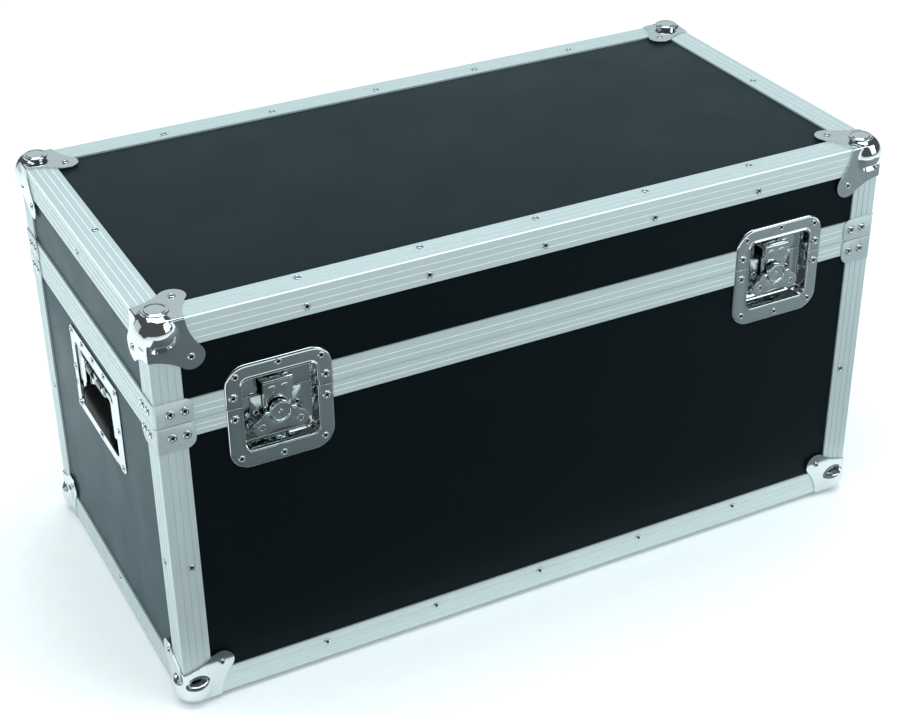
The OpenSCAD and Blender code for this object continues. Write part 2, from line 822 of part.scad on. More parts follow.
module base_foam_lining() {
  f0 = in + 0.2;
  f1 = in + foam_t;
  z_lo = z0 + in + 0.1;
  z_hi = zp - 14;
  color([0.16, 0.16, 0.17]) {
    slab(-case_l / 2 + f0, case_l / 2 - f0, -case_w / 2 + f0, case_w / 2 - f0, z_lo, z_lo + foam_t);
    difference() {
      slab(-case_l / 2 + f0, case_l / 2 - f0, -case_w / 2 + f0, -case_w / 2 + f1, z_lo + foam_t + 0.1, z_hi);
      latch_pockets();
    }
    mirror([0, 1, 0])
      slab(-case_l / 2 + f0, case_l / 2 - f0, -case_w / 2 + f0, -case_w / 2 + f1, z_lo + foam_t + 0.1, z_hi);
    two_ends() difference() {
      slab(-case_l / 2 + f0, -case_l / 2 + f1, -case_w / 2 + f1 + 0.1, case_w / 2 - f1 - 0.1,
        z_lo + foam_t + 0.1, z_hi);
      slab(-case_l / 2, -case_l / 2 + 19.5, -handle_w / 2 + 9, handle_w / 2 - 9,
        handle_z - handle_h / 2 + 8, handle_z + handle_h / 2 - 8);
    }
  }
}

module lid_foam_pad() {
  color([0.16, 0.16, 0.17])
    slab(-case_l / 2 + in + 0.2, case_l / 2 - in - 0.2, -case_w / 2 + in + 0.2, case_w / 2 - in - 0.2,
      zt - in - 0.1 - 30, zt - in - 0.1);
}

// ---------- nodes ----------

base_floor();
base_front_panel();
base_back_panel();
base_left_panel();
base_right_panel();
lid_top_panel();
lid_front_panel();
lid_back_panel();
lid_left_panel();
lid_right_panel();
base_long_edges();
base_short_edges();
base_corner_posts();
lid_long_edges();
lid_short_edges();
lid_corner_posts();
base_front_closing_rail();
base_back_closing_rail();
base_end_closing_rails();
lid_front_closing_rail();
lid_back_closing_rail();
lid_end_closing_rails();
base_ball_corners();
lid_ball_corners();
base_corner_braces();
lid_corner_braces();
base_small_rivets();
lid_small_rivets();
base_dome_rivets();
lid_dome_rivets();
left_latch_base_dish();
left_latch_lid_dish();
left_latch_keeper();
left_latch_frame();
left_latch_spring();
left_latch_hub();
left_latch_wing();
left_latch_hook();
right_latch_base_dish();
right_latch_lid_dish();
right_latch_keeper();
right_latch_frame();
right_latch_spring();
right_latch_hub();
right_latch_wing();
right_latch_hook();
left_handle_dish();
left_handle_loop();
left_handle_grip();
left_handle_springs();
right_handle_dish();
right_handle_loop();
right_handle_grip();
right_handle_springs();
hinge_base_leaves();
hinge_lid_leaves();
hinge_pins();
base_foam_lining();
lid_foam_pad();
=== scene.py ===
import math

import bmesh
import bpy
import numpy as np
from mathutils import Matrix, Vector
from mathutils.geometry import delaunay_2d_cdt


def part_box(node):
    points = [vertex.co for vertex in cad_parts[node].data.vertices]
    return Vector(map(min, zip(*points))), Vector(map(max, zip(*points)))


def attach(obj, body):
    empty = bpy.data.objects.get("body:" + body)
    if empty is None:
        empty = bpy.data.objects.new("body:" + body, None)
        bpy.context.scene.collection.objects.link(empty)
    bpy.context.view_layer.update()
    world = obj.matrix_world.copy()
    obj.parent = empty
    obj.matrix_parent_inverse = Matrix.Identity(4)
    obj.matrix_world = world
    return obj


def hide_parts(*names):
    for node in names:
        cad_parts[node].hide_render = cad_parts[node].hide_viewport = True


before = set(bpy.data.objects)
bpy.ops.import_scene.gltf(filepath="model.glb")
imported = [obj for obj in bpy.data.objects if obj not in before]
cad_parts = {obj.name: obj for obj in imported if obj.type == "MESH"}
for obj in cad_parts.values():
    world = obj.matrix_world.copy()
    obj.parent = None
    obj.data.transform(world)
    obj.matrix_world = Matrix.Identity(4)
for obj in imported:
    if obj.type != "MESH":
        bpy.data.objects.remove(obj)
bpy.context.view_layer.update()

bl_info = {
    "name": "Flight case",
    "version": (1, 0, 0),
    "blender": (4, 5, 0),
    "location": "View3D > Sidebar > Flight case",
    "description": "Builds the visible pieces of a flight case round its CAD frame",
    "category": "Mesh",
}

MM = 0.001


def corners_mm(node):
    """Lowest and highest corner of a CAD node, in millimetres."""
    lo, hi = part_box(node)
    return Vector(lo) / MM, Vector(hi) / MM


# Main measures of the case, all in millimetres, taken from the frame.
CASE_L = corners_mm("base_short_edges")[1].x * 2
CASE_W = corners_mm("base_long_edges")[1].y * 2
FOOT_Z = corners_mm("base_long_edges")[0].z
TOP_Z = corners_mm("lid_long_edges")[1].z
PARTING_Z = corners_mm("lid_corner_posts")[0].z - 0.2
LATCH_X = abs(sum(corners_mm("left_latch_keeper"), Vector()).x / 2)
HANDLE_Z = sum(corners_mm("left_handle_dish"), Vector()).z / 2

# Sheet of the hardware, wall of the extrusions, half the strip that bends round an upright edge,
# and the grooves of an extrusion: their reach from the outer edge, and half the width of the painted
# highlight line along each.
PLATE, EDGE_WALL, BEND_HALF = 1.5, 2.0, 3.4
LEG_GROOVES, GROOVE_HIGHLIGHT_HALF = (9.0, 16.3, 23.7), 0.42

# Latch pan: its depth under the flange, the y of its floor, and the hub below the parting line.
PAN = 15.0
PAN_Y = -CASE_W / 2 - 1.2 + PAN
HUB_Y = -17.0

# Handle: the loop's top bar above the plate's middle and out of the panel face, how far the
# loop hangs down, and its half width.
PULL_Y, PULL_Z, PULL_DROP, PULL_HALF = 24.0, -3.0, 45.0, 50.0
SIDES = ((-1, "left"), (1, "right"))

# Ball corner: the ball's centre from the three outer planes, its disc, the softened box edge,
# and the far tip and the tab of one face's outline.
BALL_CENTRE, DISC_CENTRE, BOX_BEND = 14.0, 16.0, 1.6
TIP_REACH, TAB_CENTRE, TAB_RADIUS, HOLLOW_RADIUS = 95.8, 41.0, 13.52, 58.0

# Brace: how far it wraps each face, and its height below and above the parting line.
BRACE_REACH, BASE_BRACE, LID_BRACE, BRACE_GAP = 39.0, 28.2, 25.7, 0.3

# Latch: the wing's ears and its pin axis over the pan floor, and half the cut between the dishes.
EAR_X, EAR_Y, WING_AXIS, DISH_GAP = 20.0, -14.0, 12.0, 0.2

# Foam pad: mesh cell, mean and swing of the waves, and the width of its soft border.
PAD_CELL, PAD_MEAN, PAD_SWING, PAD_BORDER = 5.0, 8.0, 7.0, 6.0


# ---------- colours, nodes and materials ----------

def linear(code):
    """sRGB hex code to a linear colour."""
    values = [int(code[i:i + 2], 16) / 255 for i in (1, 3, 5)]
    return tuple(v / 12.92 if v <= 0.04045 else ((v + 0.055) / 1.055) ** 2.4 for v in values) + (1.0,)


def add(tree, kind, inputs=None, **settings):
    """Adds one node with its settings; an input that is a socket is linked, any other is set."""
    made = tree.nodes.new(kind)
    for key, value in settings.items():
        setattr(made, key, value)
    for key, value in (inputs or {}).items():
        if isinstance(value, bpy.types.NodeSocket):
            tree.links.new(value, made.inputs[key])
        else:
            made.inputs[key].default_value = value
    return made


def calc(tree, operation, *values):
    """Result of one maths node."""
    return add(tree, "ShaderNodeMath", dict(enumerate(values)), operation=operation).outputs[0]


def blend(tree, share, one, two):
    """Colour between two colours."""
    return add(tree, "ShaderNodeMix", {"Factor": share, 6: one, 7: two}, data_type="RGBA").outputs[2]


def spread(tree, value, low, high, start=0.0, end=1.0):
    """A value from start to end, spread over low to high."""
    return add(tree, "ShaderNodeMapRange", {"Value": value, "From Min": start, "From Max": end,
                                            "To Min": low, "To Max": high}).outputs[0]


def noise(tree, place, size, detail=2.0, roughness=0.5):
    """Noise whose features have a size in millimetres."""
    return add(tree, "ShaderNodeTexNoise", {"Vector": place, "Scale": 1 / (size * MM), "Detail": detail,
                                            "Roughness": roughness}).outputs["Fac"]


def stretched(tree, place, sizes, detail=2.0, roughness=0.5, spin=(0.0, 0.0, 0.0)):
    """Noise with its own feature size along each axis, in millimetres."""
    laid = add(tree, "ShaderNodeMapping", {"Vector": place, "Rotation": spin,
                                           "Scale": [1 / (size * MM) for size in sizes]}).outputs[0]
    return noise(tree, laid, 1 / MM, detail, roughness)


def cells(tree, place, size, randomness=1.0, feature="F1"):
    """Distance to the nearest of many cell centres, a size in millimetres apart."""
    return add(tree, "ShaderNodeTexVoronoi", {"Vector": place, "Scale": 1 / (size * MM),
                                              "Randomness": randomness}, feature=feature).outputs["Distance"]


def relief(tree, height, strength, depth):
    """Surface direction bent by a height; the depth is in millimetres."""
    return add(tree, "ShaderNodeBump", {"Height": height, "Strength": strength,
                                        "Distance": depth * MM}).outputs[0]


def parts(tree, vector):
    """X, Y and Z of a vector."""
    return add(tree, "ShaderNodeSeparateXYZ", {0: vector}).outputs


def blank_material(name):
    """Empty material, its node tree and its object coordinates."""
    material = bpy.data.materials.new(name)
    material.use_nodes = True
    tree = material.node_tree
    tree.nodes.clear()
    return material, tree, add(tree, "ShaderNodeTexCoord").outputs["Object"]


def close_material(tree, inputs, kind="ShaderNodeBsdfPrincipled"):
    """Ends a material in one shader."""
    add(tree, "ShaderNodeOutputMaterial", {"Surface": add(tree, kind, inputs).outputs[0]})


def phenolic_laminate(colour):
    """Phenolic film pressed on birch plywood with an embossed grain: nearly black, and it
    goes slate grey where it mirrors something bright at a low angle."""
    material, tree, place = blank_material("phenolic laminate, embossed")
    # Emboss cells are about 0.9 mm; drawn at 1.5 mm so that they show.
    emboss = cells(tree, place, 1.5, 0.75, "SMOOTH_F1")
    grit = noise(tree, place, 0.7)
    cloud = noise(tree, place, 85, 4.0, 0.6)
    close_material(tree, {
        "Base Color": blend(tree, grit, linear("#020203"), colour),
        "Roughness": spread(tree, cloud, 0.34, 0.44, 0.3, 0.7),
        "Specular IOR Level": 0.11, "Specular Tint": linear("#c3e6f2"),
        "Sheen Weight": 0.22, "Sheen Roughness": 0.4, "Sheen Tint": linear("#93d4e8"),
        "Normal": relief(tree, calc(tree, "ADD", emboss, grit), 0.55, 0.12)})
    return material


def groove_heights():
    """Heights of the fine grooves in the upright legs of edges and closing rails, in mm; painted highlight
    lines are drawn at them.
    """
    low = corners_mm("base_front_closing_rail")[0].z - PARTING_Z
    high = corners_mm("lid_front_closing_rail")[1].z - PARTING_Z
    return sorted([FOOT_Z + u for u in LEG_GROOVES] + [TOP_Z - u for u in LEG_GROOVES] +
                  [PARTING_Z + low * g for g in (0.36, 0.68)] +
                  [PARTING_Z + high * g for g in (0.3, 0.6)])


def drawn_aluminium(name, colour, along):
    """Extruded aluminium, satin anodised: fine die lines run the length of the bar and
    stretch every highlight across it, and the oxide skin scatters part of the light."""
    material, tree, place = blank_material(name)
    # Die lines about 0.25 mm apart, drawn at 0.6 mm, and 70 mm long.
    lines = stretched(tree, place, [70 if k == along else 0.6 for k in range(3)], 3.0, 0.6)
    bands = stretched(tree, place, [260 if k == along else 4 for k in range(3)])
    marks = noise(tree, place, 30, 6.0, 0.7)
    # Painted highlight: the grooves and the rounded outer arrises get a near-white, less metallic colour and
    # show as thin bright lines.
    facing = add(tree, "ShaderNodeNewGeometry").outputs["Normal"]
    tilt = calc(tree, "ABSOLUTE", parts(tree, facing)["Z"])
    painted_highlight = calc(tree, "COMPARE", tilt, 0.6, 0.36)
    if along < 2:
        spot = parts(tree, place)
        upright = calc(tree, "LESS_THAN", tilt, 0.3)
        cross = calc(tree, "ABSOLUTE", spot[1 - along])
        half = (CASE_L if along else CASE_W) / 2
        for where, line, gate in ([(spot["Z"], z, upright) for z in groove_heights()] +
                                  [(cross, half - reach, tilt) for reach in LEG_GROOVES]):
            on = calc(tree, "COMPARE", where, line * MM, GROOVE_HIGHLIGHT_HALF * MM)
            painted_highlight = calc(tree, "MAXIMUM", painted_highlight, calc(tree, "MULTIPLY", on, gate))
    bright = tuple(min(1.0, c * 1.16) for c in colour[:3]) + (1.0,)
    close_material(tree, {
        # Near-white where the grooves and arrises are masked: painted highlight.
        "Base Color": blend(tree, painted_highlight, blend(tree, bands, colour, bright), linear("#f4fafa")),
        "Metallic": spread(tree, painted_highlight, 0.62, 0.15),
        "Roughness": spread(tree, marks, 0.44, 0.56, 0.3, 0.7),
        "Normal": relief(tree, lines, 0.35, 0.03)})
    return material


def worked_steel(name, colour, rough_lo, rough_hi, mark_mm=14.0, pit=0.0, metallic=1.0):
    """Pressed or turned steel under a plated coat: even colour, broken only by handling
    haze and hairline scratches."""
    material, tree, place = blank_material(name)
    haze = noise(tree, place, mark_mm, 5.0, 0.62)
    # Hairlines are hundredths of a millimetre wide; drawn at 0.5 mm so that they break the gloss.
    hair = stretched(tree, place, (0.5, 9, 0.5), spin=(0.5, 0.7, 0.4))
    dull = tuple(c * 0.86 for c in colour[:3]) + (1.0,)
    worn = calc(tree, "MULTIPLY", haze, hair)
    close_material(tree, {
        "Base Color": blend(tree, haze, dull, colour), "Metallic": metallic,
        "Roughness": spread(tree, worn, rough_lo, rough_hi, 0.12, 0.42),
        "Normal": relief(tree, hair, 0.03 + pit, 0.02)})
    return material


def moulded_rubber(colour):
    """Black vulcanised rubber from a steel mould: soft broad highlight over a faint pebble."""
    material, tree, place = blank_material("moulded rubber, black")
    dust = noise(tree, place, 16, 6.0)
    close_material(tree, {
        "Base Color": blend(tree, dust, colour, linear("#0a0b0b")),
        "Roughness": spread(tree, dust, 0.5, 0.66), "Specular IOR Level": 0.18,
        "Normal": relief(tree, cells(tree, place, 1.1, feature="SMOOTH_F1"), 0.3, 0.08)})
    return material


def open_cell_foam(colour):
    """Charcoal polyurethane foam, cut with a hot wire: matt, with open cells whose shade is
    painted into the colour as a fine dark speckle."""
    material, tree, place = blank_material("open-cell foam, charcoal")
    # Pores are about 0.8 mm; drawn at 1.6 mm so that they show.
    pore_relief_and_shade = calc(tree, "MULTIPLY", cells(tree, place, 1.6), noise(tree, place, 5, 5.0))
    # Painted shade: the colour is darkest at the cell centres, as shade in the open cells, and lighter
    # towards the cell walls.
    close_material(tree, {
        "Base Color": blend(tree, pore_relief_and_shade, colour, linear("#4a4c50")), "Roughness": 0.95,
        "Specular IOR Level": 0.15, "Sheen Weight": 0.25, "Sheen Roughness": 0.6,
        "Normal": relief(tree, pore_relief_and_shade, 0.9, 0.5)})
    return material


# ---------- shapes ----------

def arc(cx, cy, radius, start, end, steps):
    """Points of an arc, angles in degrees."""
    return [(cx + radius * math.cos(math.radians(start + (end - start) * i / steps)),
             cy + radius * math.sin(math.radians(start + (end - start) * i / steps)))
            for i in range(steps + 1)]


def soft_rect(x0, y0, x1, y1, radius, steps=8, sides=1):
    """Rounded rectangle, anticlockwise, with the same number of points whatever its size."""
    ring = []
    spots = ((x1 - radius, y1 - radius, 0), (x0 + radius, y1 - radius, 90),
             (x0 + radius, y0 + radius, 180), (x1 - radius, y0 + radius, 270))
    for i, (cx, cy, start) in enumerate(spots):
        bend = arc(cx, cy, radius, start, start + 90, steps)
        after = spots[(i + 1) % 4]
        first = arc(after[0], after[1], radius, after[2], after[2], 1)[0]
        ring += bend
        ring += [(bend[-1][0] + (first[0] - bend[-1][0]) * k / sides,
                  bend[-1][1] + (first[1] - bend[-1][1]) * k / sides) for k in range(1, sides)]
    return ring


def filleted(points, steps=5):
    """Polygon from (x, y, radius) corners, each corner rounded to its radius."""
    ring = []
    for i, (x, y, radius) in enumerate(points):
        here = Vector((x, y))
        back = (Vector(points[i - 1][:2]) - here).normalized()
        on = (Vector(points[(i + 1) % len(points)][:2]) - here).normalized()
        half = back.angle(on) / 2
        if radius <= 0 or half > 1.56:
            ring.append((x, y))
            continue
        run = radius / math.tan(half)
        centre = here + (back + on).normalized() * (radius / math.sin(half))
        a, b = here + back * run - centre, here + on * run - centre
        turn = b.angle_signed(a)
        for k in range(steps + 1):
            p = centre + Matrix.Rotation(turn * k / steps, 2) @ a
            ring.append((p.x, p.y))
    return ring


def within(points, ring):
    """Which of the points lie inside the ring."""
    x, y = points[:, 0], points[:, 1]
    ring = np.array(ring)
    hit = np.zeros(len(points), bool)
    for (x0, y0), (x1, y1) in zip(ring, np.roll(ring, -1, axis=0)):
        if y0 == y1:
            continue
        hit ^= ((y0 > y) != (y1 > y)) & (x < (x1 - x0) * (y - y0) / (y1 - y0) + x0)
    return hit


def triangles(outline, holes=(), grid=0.0):
    """Flat triangles that fill an outline round its holes, with extra points on a grid."""
    points, edges = [], []
    for ring in (outline, *holes):
        start = len(points)
        points += [Vector(p) for p in ring]
        edges += [(start + i, start + (i + 1) % len(ring)) for i in range(len(ring))]
    if grid:
        ring = np.array(outline)
        lo, hi = ring.min(0), ring.max(0)
        rows = np.arange(lo[1] + grid / 2, hi[1], grid * 0.866)
        extra = np.array([(x + (grid / 2 if i % 2 else 0), y) for i, y in enumerate(rows)
                          for x in np.arange(lo[0] + grid / 2, hi[0], grid)])
        keep = within(extra, outline)
        every = np.array([tuple(p) for p in points])
        for hole in holes:
            keep &= ~within(extra, hole)
        near = np.array([np.min(np.sum((every - p) ** 2, axis=1)) for p in extra])
        points += [Vector(p) for p in extra[keep & (near > (grid * 0.45) ** 2)]]
    spots, _, faces, *_ = delaunay_2d_cdt(points, edges, [], 0, 1e-6)
    spots = np.array([tuple(p) for p in spots])
    middle = np.array([spots[list(f)].mean(0) for f in faces])
    keep = within(middle, outline)
    for hole in holes:
        keep &= ~within(middle, hole)
    return spots, [tuple(f) for f, k in zip(faces, keep) if k]


def plate(outline, low, high, holes=()):
    """Sheet cut to an outline, from z = low to z = high."""
    spots, faces = triangles(outline, holes)
    shape = bmesh.new()
    top = [shape.verts.new((x, y, high)) for x, y in spots]
    base = [shape.verts.new((x, y, low)) for x, y in spots]
    once = {}
    for a, b, c in faces:
        p, q, r = (spots[i] for i in (a, b, c))
        if (q[0] - p[0]) * (r[1] - p[1]) < (r[0] - p[0]) * (q[1] - p[1]):
            b, c = c, b
        shape.faces.new((top[a], top[b], top[c]))
        shape.faces.new((base[a], base[c], base[b]))
        for e in ((a, b), (b, c), (c, a)):
            once[e] = once.get(e, 0) + 1
    for a, b in once:
        if (b, a) not in once:
            shape.faces.new((base[a], base[b], top[b], top[a]))
    for v in [v for v in shape.verts if not v.link_faces]:
        shape.verts.remove(v)
    return shape


def turned(profile, steps=48):
    """Solid turned about Z from (radius, height) points that start and end on the axis."""
    shape = bmesh.new()
    rings = []
    for radius, height in profile:
        if radius < 1e-6:
            rings.append([shape.verts.new((0, 0, height))])
        else:
            rings.append([shape.verts.new((radius * math.cos(math.tau * i / steps),
                                           radius * math.sin(math.tau * i / steps), height))
                          for i in range(steps)])
    for one, two in zip(rings, rings[1:]):
        for i in range(steps):
            j = (i + 1) % steps
            face = [one[i % len(one)], one[j % len(one)], two[j % len(two)], two[i % len(two)]]
            shape.faces.new(list(dict.fromkeys(face)))
    bmesh.ops.recalc_face_normals(shape, faces=shape.faces)
    return shape


def lofted(rings, closed=False):
    """Skin over rings of equal length; it is filled at both ends, or closed to a loop."""
    shape = bmesh.new()
    rows = [[shape.verts.new(p) for p in ring] for ring in rings]
    for one, two in zip(rows, rows[1:] + rows[:closed]):
        for i in range(len(one)):
            j = (i + 1) % len(one)
            shape.faces.new((one[i], one[j], two[j], two[i]))
    if not closed:
        shape.faces.new(rows[0])
        shape.faces.new(rows[-1])
    bmesh.ops.recalc_face_normals(shape, faces=shape.faces)
    return shape


def swept(path, radius, sides=20, closed=False):
    """Round bar along a path."""
    path = [Vector(p) for p in path]
    count = len(path)
    rings, guide = [], None
    for i, p in enumerate(path):
        on = path[(i + 1) % count] if closed or i + 1 < count else p * 2 - path[i - 1]
        back = path[i - 1] if closed or i else p * 2 - on
        way = (on - back).normalized()
        if guide is None:
            guide = way.orthogonal().normalized()
        guide = (guide - way * guide.dot(way)).normalized()
        side = way.cross(guide)
        rings.append([p + (guide * math.cos(a) + side * math.sin(a)) * radius
                      for a in (math.tau * k / sides for k in range(sides))])
    return lofted(rings, closed)


def moved(shape, *matrices):
    """Applies the matrices from right to left and keeps the faces pointing outwards."""
    for matrix in reversed(matrices):
        shape.transform(matrix)
        if matrix.determinant() < 0:
            bmesh.ops.reverse_faces(shape, faces=shape.faces)
    return shape


def together(*shapes):
    """One shape out of several."""
    whole = bmesh.new()
    for shape in shapes:
        mesh = bpy.data.meshes.new("part")
        shape.to_mesh(mesh)
        shape.free()
        whole.from_mesh(mesh)
        bpy.data.meshes.remove(mesh)
    return whole


def shift(x=0.0, y=0.0, z=0.0):
    return Matrix.Translation((x, y, z))


def turn(degrees, axis):
    return Matrix.Rotation(math.radians(degrees), 4, axis)


def flip(x=1, y=1, z=1):
    return Matrix.Diagonal((x, y, z, 1))


def at_latch(side):
    """x along the case, y up from the parting line, z out from the pan floor."""
    return shift(side * LATCH_X, PAN_Y, PARTING_Z) @ turn(90, "X")


def at_handle(side):
    """y up from the plate's middle, z out from the panel face."""
    place = shift(-CASE_L / 2 + EDGE_WALL, 0, HANDLE_Z) @ turn(-90, "Z") @ turn(90, "X")
    return flip(x=-1) @ place if side > 0 else place


def upended(sign=1):
    """Turns a plate's outline in (y, z) upright, with its thickness along x or against it."""
    return Matrix(((0, 0, sign, 0), (1, 0, 0, 0), (0, 1, 0, 0), (0, 0, 0, 1)))


def four_corners():
    """Frames of the four upright edges, each with its origin on the outer corner."""
    return [flip(x=mx, y=my) @ shift(-CASE_L / 2, -CASE_W / 2, 0) for mx in (1, -1) for my in (1, -1)]


def baked(piece):
    """Turns the piece's modifiers into plain mesh."""
    view = bpy.context.evaluated_depsgraph_get()
    mesh = bpy.data.meshes.new_from_object(piece.evaluated_get(view), depsgraph=view)
    piece.modifiers.clear()
    piece.data = mesh
    return piece


def linked(name, data):
    """New object in the scene."""
    made = bpy.data.objects.new(name, data)
    bpy.context.scene.collection.objects.link(made)
    return made


def shape_of(mesh):
    """Editable copy of a mesh."""
    shape = bmesh.new()
    shape.from_mesh(mesh)
    return shape


def publish(name, shape, material, body, nodes=(), bevel=0.0, angle=38.0, in_mm=True):
    """Makes a finished piece from a worked shape: broken edges, smooth shading and its body."""
    if in_mm:
        shape.transform(Matrix.Scale(MM, 4))
    mesh = bpy.data.meshes.new(name)
    shape.to_mesh(mesh)
    shape.free()
    piece = linked(name, mesh)
    mesh.materials.append(material)
    if bevel:
        edge = piece.modifiers.new("broken edge", "BEVEL")
        edge.width = bevel * MM
        edge.segments = 2
        edge.limit_method = "ANGLE"
        edge.angle_limit = math.radians(angle)
        baked(piece)
    piece.data.shade_smooth()
    piece.data.set_sharp_from_angle(angle=math.radians(angle))
    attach(piece, body)
    if nodes:
        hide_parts(*nodes)
    return piece


def cad_shape(node, plain=True):
    """A CAD node's own shape, welded; plain joins its flat triangles again."""
    shape = shape_of(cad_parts[node].data)
    bmesh.ops.remove_doubles(shape, verts=shape.verts, dist=1e-6)
    if plain:
        bmesh.ops.dissolve_limit(shape, angle_limit=math.radians(1), verts=shape.verts, edges=shape.edges)
    return shape


def refined(node, material, body, bevel):
    """A CAD node's own shape with its corners broken."""
    return publish(node + "_finished", cad_shape(node), material, body, (node,), bevel, in_mm=False)


def paint(node, material):
    """Gives a CAD node that keeps its shape its material."""
    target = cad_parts[node]
    target.data.materials.clear()
    target.data.materials.append(material)


MATERIALS = {}


def finish(key):
    """The case's materials, each made once."""
    if key not in MATERIALS:
        colours = bpy.context.scene.case_colours
        tone = {name: tuple(getattr(colours, name)) + (1.0,) for name in CaseColours.__annotations__}
        makers = {
            "laminate": (phenolic_laminate, tone["laminate"]),
            "bar_x": (drawn_aluminium, "anodised aluminium, long bars", tone["aluminium"], 0),
            "bar_y": (drawn_aluminium, "anodised aluminium, end bars", tone["aluminium"], 1),
            "bar_z": (drawn_aluminium, "anodised aluminium, posts", tone["aluminium"], 2),
            "chrome": (worked_steel, "chrome plate, pressed", tone["chrome"], 0.03, 0.09),
            "ball": (worked_steel, "bright zinc, ball corners", tone["chrome"], 0.05, 0.13),
            "zinc": (worked_steel, "zinc plate, braces", tone["zinc"], 0.26, 0.4, 9.0, 0.1, 0.55),
            "bracket": (worked_steel, "zinc plate, latch works", tone["zinc"], 0.14, 0.28),
            "rivet": (worked_steel, "bright rivet steel", tone["chrome"], 0.12, 0.24, 4.0),
            # Painted shade: a near-black disc down in each hollow rivet head stands in for the shade in its
            # hole.
            "core": (worked_steel, "rivet mandrel, dark steel", linear("#1b1f21"), 0.4, 0.6, 3.0),
            "spring": (worked_steel, "spring wire, drawn", linear("#9fa7aa"), 0.2, 0.36, 3.0),
            "rubber": (moulded_rubber, tone["rubber"]),
            "foam": (open_cell_foam, tone["foam"]),
        }
        maker, *values = makers[key]
        MATERIALS[key] = maker(*values)
    return MATERIALS[key]


# ---------- geometry node trees ----------

NUMBER = "NodeSocketFloat"


def tree_with(name, *sizes):
    """Geometry node tree with one geometry in, one out and named sizes between."""
    tree = bpy.data.node_groups.new(name, "GeometryNodeTree")
    tree.interface.new_socket("Geometry", in_out="INPUT", socket_type="NodeSocketGeometry")
    for label, kind in sizes:
        tree.interface.new_socket(label, in_out="INPUT", socket_type=kind)
    tree.interface.new_socket("Geometry", in_out="OUTPUT", socket_type="NodeSocketGeometry")
    return tree, add(tree, "NodeGroupInput").outputs


def grown(name, seed_mesh, tree, **sizes):
    """Runs a node tree on a seed mesh and returns the plain mesh that comes out."""
    piece = linked(name, seed_mesh)
    nodes = piece.modifiers.new("grow", "NODES")
    nodes.node_group = tree
    for item in tree.interface.items_tree:
        if item.in_out == "INPUT" and item.name in sizes:
            nodes[item.identifier] = sizes[item.name]
    return baked(piece)


def stretch_z(tree, geometry, kind, flat, z):
    """Geometry scaled or moved along Z only; flat is what X and Y get."""
    vector = add(tree, "ShaderNodeCombineXYZ", {"X": flat, "Y": flat, "Z": z}).outputs[0]
    return add(tree, "GeometryNodeTransform", {"Geometry": geometry, kind: vector}).outputs[0]


def ring_curve(tree, points, radius):
    return add(tree, "GeometryNodeCurvePrimitiveCircle", {"Resolution": points, "Radius": radius}).outputs[0]


def coated(tree, geometry, material):
    return add(tree, "GeometryNodeSetMaterial", {"Geometry": geometry, "Material": material}).outputs[0]


def rivet_tree():
    """Hollow rivet heads: a flattened ring of metal round a dark disc that is painted shade of the hole, one
    on each point.
    """
    tree, given = tree_with("rivet heads", ("Radius", NUMBER), ("Wall", NUMBER), ("Height", NUMBER),
                            ("Head", "NodeSocketMaterial"), ("Core", "NodeSocketMaterial"))
    middle = calc(tree, "SUBTRACT", given["Radius"], given["Wall"])
    squash = calc(tree, "DIVIDE", given["Height"], given["Wall"])
    ring = add(tree, "GeometryNodeCurveToMesh", {"Curve": ring_curve(tree, 24, middle),
                                                 "Profile Curve": ring_curve(tree, 10, given["Wall"])})
    head = coated(tree, stretch_z(tree, ring.outputs[0], "Scale", 1.0, squash), given["Head"])
    # A dark disc a quarter of the head's height up fills the hollow: painted shade of the rivet's hole.
    disc = add(tree, "GeometryNodeMeshCircle", {"Vertices": 24, "Radius": middle}, fill_type="NGON")
    raised = stretch_z(tree, disc.outputs[0], "Translation", 0.0,
                       calc(tree, "MULTIPLY", given["Height"], 0.25))
    rivet = add(tree, "GeometryNodeJoinGeometry")
    for piece in (head, coated(tree, raised, given["Core"])):
        tree.links.new(piece, rivet.inputs[0])
    aim = add(tree, "GeometryNodeInputNamedAttribute", {"Name": "aim"}, data_type="FLOAT_VECTOR")
    facing = add(tree, "FunctionNodeAlignRotationToVector", {"Vector": aim.outputs[0]}, axis="Z")
    placed = add(tree, "GeometryNodeInstanceOnPoints", {
        "Points": given["Geometry"], "Instance": rivet.outputs[0], "Rotation": facing.outputs[0]})
    real = add(tree, "GeometryNodeRealizeInstances", {"Geometry": placed.outputs[0]})
    add(tree, "NodeGroupOutput", {"Geometry": real.outputs[0]})
    return tree


def coil_tree():
    """Close-wound helical spring standing on Z."""
    tree, given = tree_with("coil spring", ("Coil radius", NUMBER), ("Wire radius", NUMBER),
                            ("Turns", NUMBER), ("Height", NUMBER), ("Wire", "NodeSocketMaterial"))
    line = add(tree, "GeometryNodeCurveSpiral", {
        "Resolution": 28, "Rotations": given["Turns"], "Start Radius": given["Coil radius"],
        "End Radius": given["Coil radius"], "Height": given["Height"]})
    tube = add(tree, "GeometryNodeCurveToMesh", {
        "Curve": line.outputs[0], "Profile Curve": ring_curve(tree, 12, given["Wire radius"]),
        "Fill Caps": True})
    real = add(tree, "GeometryNodeRealizeInstances", {"Geometry": tube.outputs[0]})
    add(tree, "NodeGroupOutput", {"Geometry": coated(tree, real.outputs[0], given["Wire"])})
    return tree


# ---------- user values ----------

